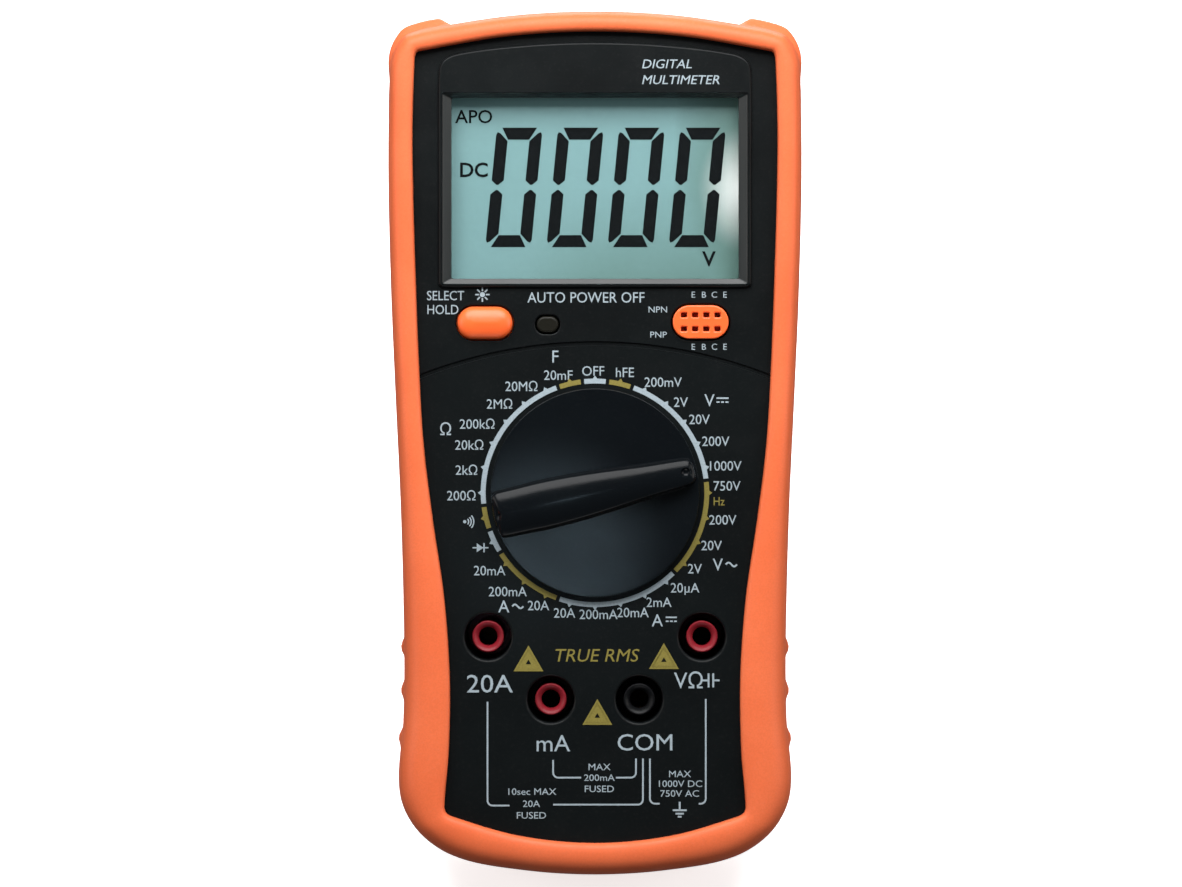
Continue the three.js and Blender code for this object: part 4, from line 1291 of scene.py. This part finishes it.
def add_capacitor(bm, x, y):
    """Two bars with leads."""
    for side in (-1, 1):
        bar = x + side * 0.5
        add_stroke(bm, [(bar, y + 1.5), (bar, y - 1.5)], 0.4, INK_Z)
        add_stroke(bm, [(bar, y), (x + side * 1.85, y)], 0.4, INK_Z)


def add_earth(bm, x, y):
    """A stem over an arrow of bars."""
    add_stroke(bm, [(x, y + 1.8), (x, y)], 0.4, INK_Z)
    for drop, half in ((0.0, 1.5), (0.75, 0.9), (1.4, 0.4)):
        add_stroke(bm, [(x - half, y - drop), (x + half, y - drop)], 0.38, INK_Z)


def add_symbols(bm):
    add_star(bm, -24.2, 125.0, 1.55)
    add_direct_mark(bm, 27.4, 102.3, 2.6)
    add_direct_mark(bm, 16.4, 55.2, 2.4)
    add_wave(bm, 29.3, 67.0, 2.4)
    add_wave(bm, -16.6, 58.0, 2.4)
    add_diode(bm, -24.6, 70.6)
    add_buzzer(bm, -28.0, 76.2)
    add_capacitor(bm, 24.9, 42.1)
    add_earth(bm, 18.2, 14.2)


def pale_printing(sizes):
    bm = bmesh.new()
    height = sizes.print_height / MM
    for words, x, y in RANGES:
        add_lettering(bm, words, height, x, y, INK_Z, wide=0.95)
    for words, x, y in GROUPS_OF_RANGES:
        add_lettering(bm, words, 2.6, x, y, INK_Z, wide=0.95)
    for words, x, y, cap, wide in LABELS:
        add_lettering(bm, words, cap, x, y, INK_Z, wide=wide)
    for words, x, y in BUTTON_LABELS:
        add_lettering(bm, words, 2.0, x, y, INK_Z, align="LEFT", wide=0.86)
    start, step = TRANSISTOR_LETTERS
    for y in TRANSISTOR_ROWS:
        for k, letter in enumerate("EBCE"):
            add_lettering(bm, letter, 1.3, start + k * step, y, INK_Z)
    for pairs in BRACKETS:
        add_stroke(bm, rounded_corner(pairs, 1.1), BRACKET_WIDTH, INK_Z)
    add_symbols(bm)
    add_ring_arcs(bm, PALE_ARCS)
    return bm


def yellow_printing():
    bm = bmesh.new()
    add_lettering(bm, "Hz", 1.8, 26.6, 80.6, INK_Z, wide=0.85)
    add_lettering(bm, "TRUE RMS", 2.7, 0.1, 47.5, INK_Z, shear=0.2, wide=1.03)
    add_ring_arcs(bm, YELLOW_ARCS)
    for x, y in TRIANGLES:
        for reach, width in TRIANGLE_BANDS:
            corners = arc(x, y - 0.9, reach, math.pi / 2, math.pi * 5 / 2, 3)[:-1]
            add_frame(bm, corners, width, INK_Z)
    return bm


def header_printing():
    bm = bmesh.new()
    for words, y in (("DIGITAL", 174.5), ("MULTIMETER", 171.1)):
        add_lettering(bm, words, 1.9, 9.9, y, PLATEAU + PRINT_LIFT, align="LEFT", shear=0.2, wide=1.05)
    return bm


class METER_OT_printing(Operator):
    """Prints the ranges, marks and brackets on the front panel"""

    bl_idname = "meter.printing"
    bl_label = "Printing"

    def execute(self, context):
        sizes, colours = context.scene.meter_sizes, context.scene.meter_colours
        pale, yellow = (ink(name, tuple(colour), darker(colour, 0.8)) for name, colour in
                        (("pale_ink", colours.pale_ink), ("yellow_ink", colours.yellow_ink)))
        for name, bm, finish in (("pale_print", pale_printing(sizes), pale),
                                 ("header_print", header_printing(), pale),
                                 ("yellow_print", yellow_printing(), yellow)):
            place(name, bm, finish, "housing", tidy=False)
        return {"FINISHED"}


# ---------------------------------------------------------------- back

CASE_SCREWS = ((-29.9, 19.5), (29.9, 19.5), (-27, 175.7), (27, 175.7))
# radii of a screw's head and shank, where its head starts, how thick that is, and its tip
CASE_SCREW = (2.9, 1.3, 3.1, 1.9, 27)
DOOR_SCREW = (2.6, 1.25, 2.9, 1.2, 12)
DOOR_SCREW_Y = 132.2
# half the width, the lower end and the upper end of each pocket
DOOR = (28.0, 98.0, 136.0)
BATTERY_OPENING = (24.85, 100.65, 128.35)
RECESS = (25.9, 10.4, 94.9)
TROUGH = (25.7, 89.3, 94.7)
LABEL = (23.0, 144.0, 168.0)
RECESS_FLOOR = 4.3
TROUGH_FLOOR = 6.3
DOOR_LEDGE = 4.4
INSIDE = 6.8
SEAT = ((3.1, 5.3), (3.1, CASE_BACK + 0.2), (3.25, CASE_BACK))  # radius and height up to the back
LUG_RADIUS = 2.7
LUG_ENDS = (26.1, 29.6)
DOOR_UNDER = 4.15
GRIP_SLOTS = (101.5, 1.8, 5)  # the first one's place, their step and how many there are
GRIP_SLOT = (9.0, 0.4)  # half its width and half its height
DOOR_WELL = (3.0, 4.1)  # its radius and the height of its floor


def centred_box(shape, grow=0.0, corner=0.6):
    half, low, high = shape
    return rounded_box(-half - grow, half + grow, low - grow, high + grow, corner, steps=4)


def rear_case_mesh():
    inner, wall = (inset(holster_outline(), distance) for distance in (CASE_INSIDE, CASE_INSET))
    bm = bmesh.new()
    inside, back = loft(bm, [(inner, INSIDE), (inner, PARTING)]
                        + rounded_walls(wall, PARTING, CASE_BACK, 1.3))
    faces, floors = [back], [inside]
    door = centred_box(DOOR, 0.3, 1.7)
    ledge, edge = loft(bm, [(door, DOOR_LEDGE), (door, CASE_BACK + 0.15),
                            (inset(door, -0.15), CASE_BACK)])
    faces.append(edge)
    opening, hole = loft(bm, [(centred_box(BATTERY_OPENING), z) for z in (INSIDE, DOOR_LEDGE)])
    fill(bm, ledge, hole)
    floors.append(opening)
    recess = centred_box(RECESS, 0.0, 1.2)
    floor, edge = loft(bm, [(recess, RECESS_FLOOR), (recess, CASE_BACK + 0.2),
                            (inset(recess, -0.2), CASE_BACK)])
    faces.append(edge)
    bottom, mouth = loft(bm, [(centred_box(TROUGH), z) for z in (TROUGH_FLOOR, RECESS_FLOOR)])
    fill(bm, floor, mouth)
    fill(bm, bottom)
    label = centred_box(LABEL, 0.0, 1.5)
    sunk, edge = loft(bm, [(inset(label, 0.15), CASE_BACK + 0.35), (label, CASE_BACK)])
    fill(bm, sunk)
    faces.append(edge)
    for x, y in CASE_SCREWS:
        low, high = loft(bm, [(circle(x, y, radius), z) for radius, z in SEAT])
        fill(bm, low)
        faces.append(high)
    fill(bm, *faces)
    fill(bm, *floors)
    for side in (-1, 1):
        rod_along_x(bm, HINGE.y, HINGE.z, LUG_RADIUS, *sorted(side * end for end in LUG_ENDS))
    return bm


def door_mesh():
    """The battery door, with a screw well and a patch of grip slots at its foot."""
    start, step, count = GRIP_SLOTS
    w, h = GRIP_SLOT
    holes = []
    for y in (start + k * step for k in range(count)):
        holes.append((rounded_box(-w, w, y - h, y + h, 0.35), CASE_BACK + 0.4))
    radius, floor = DOOR_WELL
    holes.append((circle(0, DOOR_SCREW_Y, radius, 40), floor))
    bm = bmesh.new()
    plate(bm, centred_box(DOOR, 0.0, 1.5), DOOR_UNDER, CASE_BACK, 0.25, holes)
    return bm


def screw_mesh(x, y, radius, shank, head_back, head_height, end):
    """A pan-head screw with a cross recess, its head towards the back."""
    neck = head_back + head_height * 0.8
    arm, half = radius * 0.62, radius * 0.13
    cross = []
    for k in range(4):
        turn = Matrix.Rotation(k * math.pi / 2, 2)
        for px, py in ((half, -half), (arm, -half), (arm, half)):
            cross.append(Vector((x, y)) + turn @ Vector((px, py)))
    bm = bmesh.new()
    plate(bm, circle(x, y, radius, 40), head_back + head_height, head_back, radius * 0.18,
          [(cross, head_back + head_height * 0.6)])
    spun(bm, [(0, neck), (shank, neck), (shank, end - shank), (0, end)], x, y, 24)
    return bm


class METER_OT_rear_case(Operator):
    """Moulds the rear case and its battery door, and fits their screws"""

    bl_idname = "meter.rear_case"
    bl_label = "Rear case, battery door and screws"

    def execute(self, context):
        # the rear case and battery door are lighter than the front case's plastic: painted light that lifts the
        # back out of its shade
        plastic = moulding("rear_plastic", linear(30, 34, 36), linear(24, 27, 29),
                           rough=(0.42, 0.52), grain=2200.0, dust=0.03, strength=0.6)
        door = moulding("door_plastic", linear(37, 41, 43), linear(30, 34, 36),
                        rough=(0.38, 0.48), grain=2600.0, dust=0.03)
        steel = metal("screw_steel", linear(186, 190, 194), linear(160, 164, 168))
        place("rear_case_body", rear_case_mesh(), plastic, "housing", ["rear_case"])
        place("battery_door_panel", door_mesh(), door, "housing", ["battery_door"])
        for number, (x, y) in enumerate(CASE_SCREWS, 1):
            place(f"case_screw_{number}_head", screw_mesh(x, y, *CASE_SCREW), steel, "housing",
                  [f"case_screw_{number}"])
        place("door_screw_head", screw_mesh(0, DOOR_SCREW_Y, *DOOR_SCREW), steel, "housing",
              ["battery_door_screw"])
        return {"FINISHED"}


# ---------------------------------------------------------------- tilt stand

STAND_HALF_WIDTH = 25.4
STAND_OUTER = -2.5  # from the hinge to the stand's outer face, when it is folded flat
STAND_THICK = 3.0
STAND_LENGTH = 84.0
STAND_BARREL = 2.5
# pockets in its outer face: the edges of the wide one, then half a narrow one's width and its ends
WIDE_POCKET = (-14, 14, -66, -22)
NARROW_POCKET = (2.2, -70, -8)
NARROW_POCKET_X = 20.3


def stand_mesh():
    """The stand, made folded flat about its hinge, swung open and cut level at its foot."""
    half = STAND_HALF_WIDTH
    pockets = [(rounded_box(*WIDE_POCKET, 4, steps=8), STAND_OUTER + 1.0)]
    reach, low, high = NARROW_POCKET
    for x in (-NARROW_POCKET_X, NARROW_POCKET_X):
        pockets.append((rounded_box(x - reach, x + reach, low, high, 1.6), STAND_OUTER + 0.8))
    bm = bmesh.new()
    plate(bm, rounded_box(-half, half, -STAND_LENGTH, 0.0, 0.6, steps=4), STAND_OUTER + STAND_THICK,
          STAND_OUTER, 0.4, pockets, low_edge=0.3)
    rod_along_x(bm, 0.0, 0.0, STAND_BARREL, -half, half, steps=56)
    bmesh.ops.remove_doubles(bm, verts=bm.verts, dist=1e-4)
    swing = Matrix.Translation(HINGE) @ Matrix.Rotation(OPENED, 4, "X")
    bmesh.ops.transform(bm, matrix=swing, verts=bm.verts)
    cut_at_bench(bm)
    return bm


class METER_OT_tilt_stand(Operator):
    """Moulds the hinged tilt stand, swung open"""

    bl_idname = "meter.tilt_stand"
    bl_label = "Tilt stand"

    def execute(self, context):
        plastic = moulding("stand_plastic", linear(34, 38, 40), linear(28, 31, 33),
                           rough=(0.4, 0.5), grain=2400.0, dust=0.05, strength=0.5)
        place("tilt_stand_leg", stand_mesh(), plastic, "stand", ["tilt_stand"])
        return {"FINISHED"}


# ---------------------------------------------------------------- inner parts

# material slot: the finish's name, its colour, its darker shade and, for some, its roughness
INNER_PLASTICS = {
    "black_plastic": ("inner_black", (30, 32, 34), (22, 24, 26)),
    "white_plastic": ("inner_white", (228, 228, 222), (214, 214, 206)),
    "contact_rubber": ("contact_rubber", (202, 150, 146), (188, 134, 130)),
    "circuit_board": ("board_green", (28, 92, 56), (20, 74, 44), (0.25, 0.4)),
    "fuse_ceramic": ("fuse_ceramic", (230, 228, 220), (216, 214, 204)),
    "capacitor_sleeve": ("capacitor_blue", (38, 66, 116), (28, 52, 98)),
    "battery_label": ("battery_blue", (44, 80, 146), (36, 66, 124)),
    "lead_red": ("lead_red", (180, 32, 32), (156, 24, 24)),
    "lead_black": ("lead_black", (24, 24, 24), (16, 16, 16)),
    "lamp_lens": ("inner_lens", (50, 46, 36), (40, 38, 30)),
}
INNER_METALS = {
    "brass": ("contact_brass", (206, 168, 86), (178, 140, 64)),
    "steel": ("inner_steel", (186, 190, 194), (164, 168, 172)),
}


def inner_finishes():
    """A finish for each material slot that an inner part uses."""
    finishes = {}
    for make, table in ((moulding, INNER_PLASTICS), (metal, INNER_METALS)):
        for slot, (name, colour, shade, *rough) in table.items():
            finishes[slot] = make(name, linear(*colour), linear(*shade), *rough)
    return finishes


class METER_OT_inner_parts(Operator):
    """Gives the parts inside the case their finishes"""

    bl_idname = "meter.inner_parts"
    bl_label = "Inner parts"

    def execute(self, context):
        finishes = inner_finishes()
        dark_brass = metal("jack_bore", linear(70, 54, 32), linear(52, 40, 26), rough=(0.5, 0.65))
        for part in frame["record"]["subparts"]:
            node = frame["nodes"][part["node"]]
            if node.hide_render:
                continue
            node.data.materials.clear()
            finish = finishes[part["material_slot"]]
            if part["node"].startswith("jack_contact"):
                finish = dark_brass
            node.data.materials.append(finish)
        return {"FINISHED"}


# ---------------------------------------------------------------- bench, light and camera

# name, place, what it's aimed at, size in metres, power and tint
LIGHTS = (
    ("overhead", (0, 430, 330), (0, 90, 20), (0.6, 0.3), 4.9, (1.0, 1.0, 1.0)),
    ("left_fill", (-1000, 250, 420), (0, 90, 20), (0.6, 0.6), 3.4, (1.0, 0.95, 0.9)),
    ("right_fill", (1000, 250, 420), (0, 90, 20), (0.6, 0.6), 3.4, (1.0, 0.95, 0.9)),
    ("rear_soft", (0, 800, -480), (0, 90, 10), (0.7, 0.5), 4.0, (1.0, 1.0, 1.0)),
    ("foot_fill", (0, -700, 420), (0, 10, 20), (0.6, 0.4), 2.0, (1.0, 1.0, 1.0)),
    ("front_glint", (-24, 44, 936), (-11, 68, 36), None, 4.5, (0.6, 0.84, 1.0)),
)
SPOT_ANGLE = math.radians(1.45)
SPOT_RADIUS = 0.02
BENCH_SIZE = 8.0
VIEW_CENTRE = (-0.86, 93.0)  # the point of the face that the camera looks straight at
LENS_AT_A_METRE = 142.2


def add_light(name, place_at, aim, size, power, tint):
    """A soft rectangular light of a size, or a narrow spot where there is no size."""
    data = bpy.data.lights.new(name, "AREA" if size else "SPOT")
    if size:
        data.shape = "RECTANGLE"
        data.size, data.size_y = size
    else:
        data.spot_size, data.spot_blend, data.shadow_soft_size = SPOT_ANGLE, 1.0, SPOT_RADIUS
    data.energy = power
    data.color = tint
    light = new_object(name, data)
    start, end = (LEANT_FROM_FLAT @ Vector(p) for p in (place_at, aim))
    facing = (end - start).to_track_quat("-Z", "Y").to_matrix().to_4x4()
    light.matrix_world = Matrix.Translation(start) @ facing


def bench_finish(white):
    """A pale bench with a faint drift of tone, bright enough to fade into the room."""
    material, tree, shader, vector = started("bench_white")
    tone = mixed_colour(tree, noise_node(tree, vector, 6.0), white, darker(white, 0.985))
    tree.links.new(tone, shader.inputs["Base Color"])
    shader.inputs["Roughness"].default_value = 0.6
    shader.inputs["Emission Color"].default_value = (1.0, 1.0, 1.0, 1.0)
    shader.inputs["Emission Strength"].default_value = 0.7
    return material


def studio():
    """A pale room, which casts a fainter and cooler light than it shows."""
    world = bpy.data.worlds.new("studio")
    world.use_nodes = True
    sky = world.node_tree
    seen, cast = sky.nodes["Background"], sky.nodes.new("ShaderNodeBackground")
    seen.inputs["Color"].default_value = (0.86, 0.87, 0.88, 1.0)
    cast.inputs["Color"].default_value = (0.9, 0.95, 1.0, 1.0)
    cast.inputs["Strength"].default_value = 0.14
    blend = sky.nodes.new("ShaderNodeMixShader")
    rays = sky.nodes.new("ShaderNodeLightPath").outputs["Is Camera Ray"]
    for source, socket in zip((rays, cast.outputs[0], seen.outputs[0]), blend.inputs):
        sky.links.new(source, socket)
    sky.links.new(blend.outputs[0], sky.nodes["World Output"].inputs["Surface"])
    return world


def face_camera(distance):
    """A camera square to the face. Its lens keeps the face the same size at any distance."""
    data = bpy.data.cameras.new("camera")
    data.sensor_width = 36.0
    data.lens = LENS_AT_A_METRE * distance
    camera = new_object("camera", data)
    spot = LEANT_FROM_FLAT @ Vector((*VIEW_CENTRE, DEPTH + distance / MM))
    camera.matrix_world = Matrix.Translation(spot) @ TURN
    return camera


class METER_OT_stage(Operator):
    """Lays the pale bench, hangs the soft lights and sets up the camera"""

    bl_idname = "meter.stage"
    bl_label = "Stage"

    def execute(self, context):
        scene = context.scene
        bm = bmesh.new()
        bmesh.ops.create_grid(bm, x_segments=4, y_segments=4, size=BENCH_SIZE)
        floor = new_object("bench", mesh_from("bench", bm))
        floor.data.materials.append(bench_finish(tuple(scene.meter_colours.floor)))
        floor.visible_diffuse = floor.visible_glossy = False
        for light in LIGHTS:
            add_light(*light)
        scene.world = studio()
        scene.view_settings.view_transform = "Standard"
        scene.camera = face_camera(scene.meter_sizes.camera_distance)
        return {"FINISHED"}


# ---------------------------------------------------------------- panel and start

PIECES = (METER_OT_holster, METER_OT_front_panel, METER_OT_display, METER_OT_selector,
          METER_OT_controls, METER_OT_jacks, METER_OT_printing, METER_OT_rear_case,
          METER_OT_tilt_stand, METER_OT_inner_parts, METER_OT_stage)


class METER_PT_pieces(Panel):
    """The meter's sizes, colours and pieces"""

    bl_idname = "METER_PT_pieces"
    bl_label = "Digital multimeter"
    bl_space_type = "VIEW_3D"
    bl_region_type = "UI"
    bl_category = "Multimeter"

    def draw(self, context):
        for group in (context.scene.meter_sizes, context.scene.meter_colours):
            column = self.layout.column()
            for name in group.__annotations__:
                column.prop(group, name)
        for piece in PIECES:
            self.layout.operator(piece.bl_idname)


CLASSES = (MeterSizes, MeterColours, *PIECES, METER_PT_pieces)


def register():
    for made in CLASSES:
        bpy.utils.register_class(made)
    bpy.types.Scene.meter_sizes = PointerProperty(type=MeterSizes)
    bpy.types.Scene.meter_colours = PointerProperty(type=MeterColours)


def unregister():
    del bpy.types.Scene.meter_colours
    del bpy.types.Scene.meter_sizes
    for made in reversed(CLASSES):
        bpy.utils.unregister_class(made)


def main():
    register()
    for piece in PIECES:
        getattr(bpy.ops.meter, piece.bl_idname.split(".")[1])()


if __name__ == "__main__":
    main()
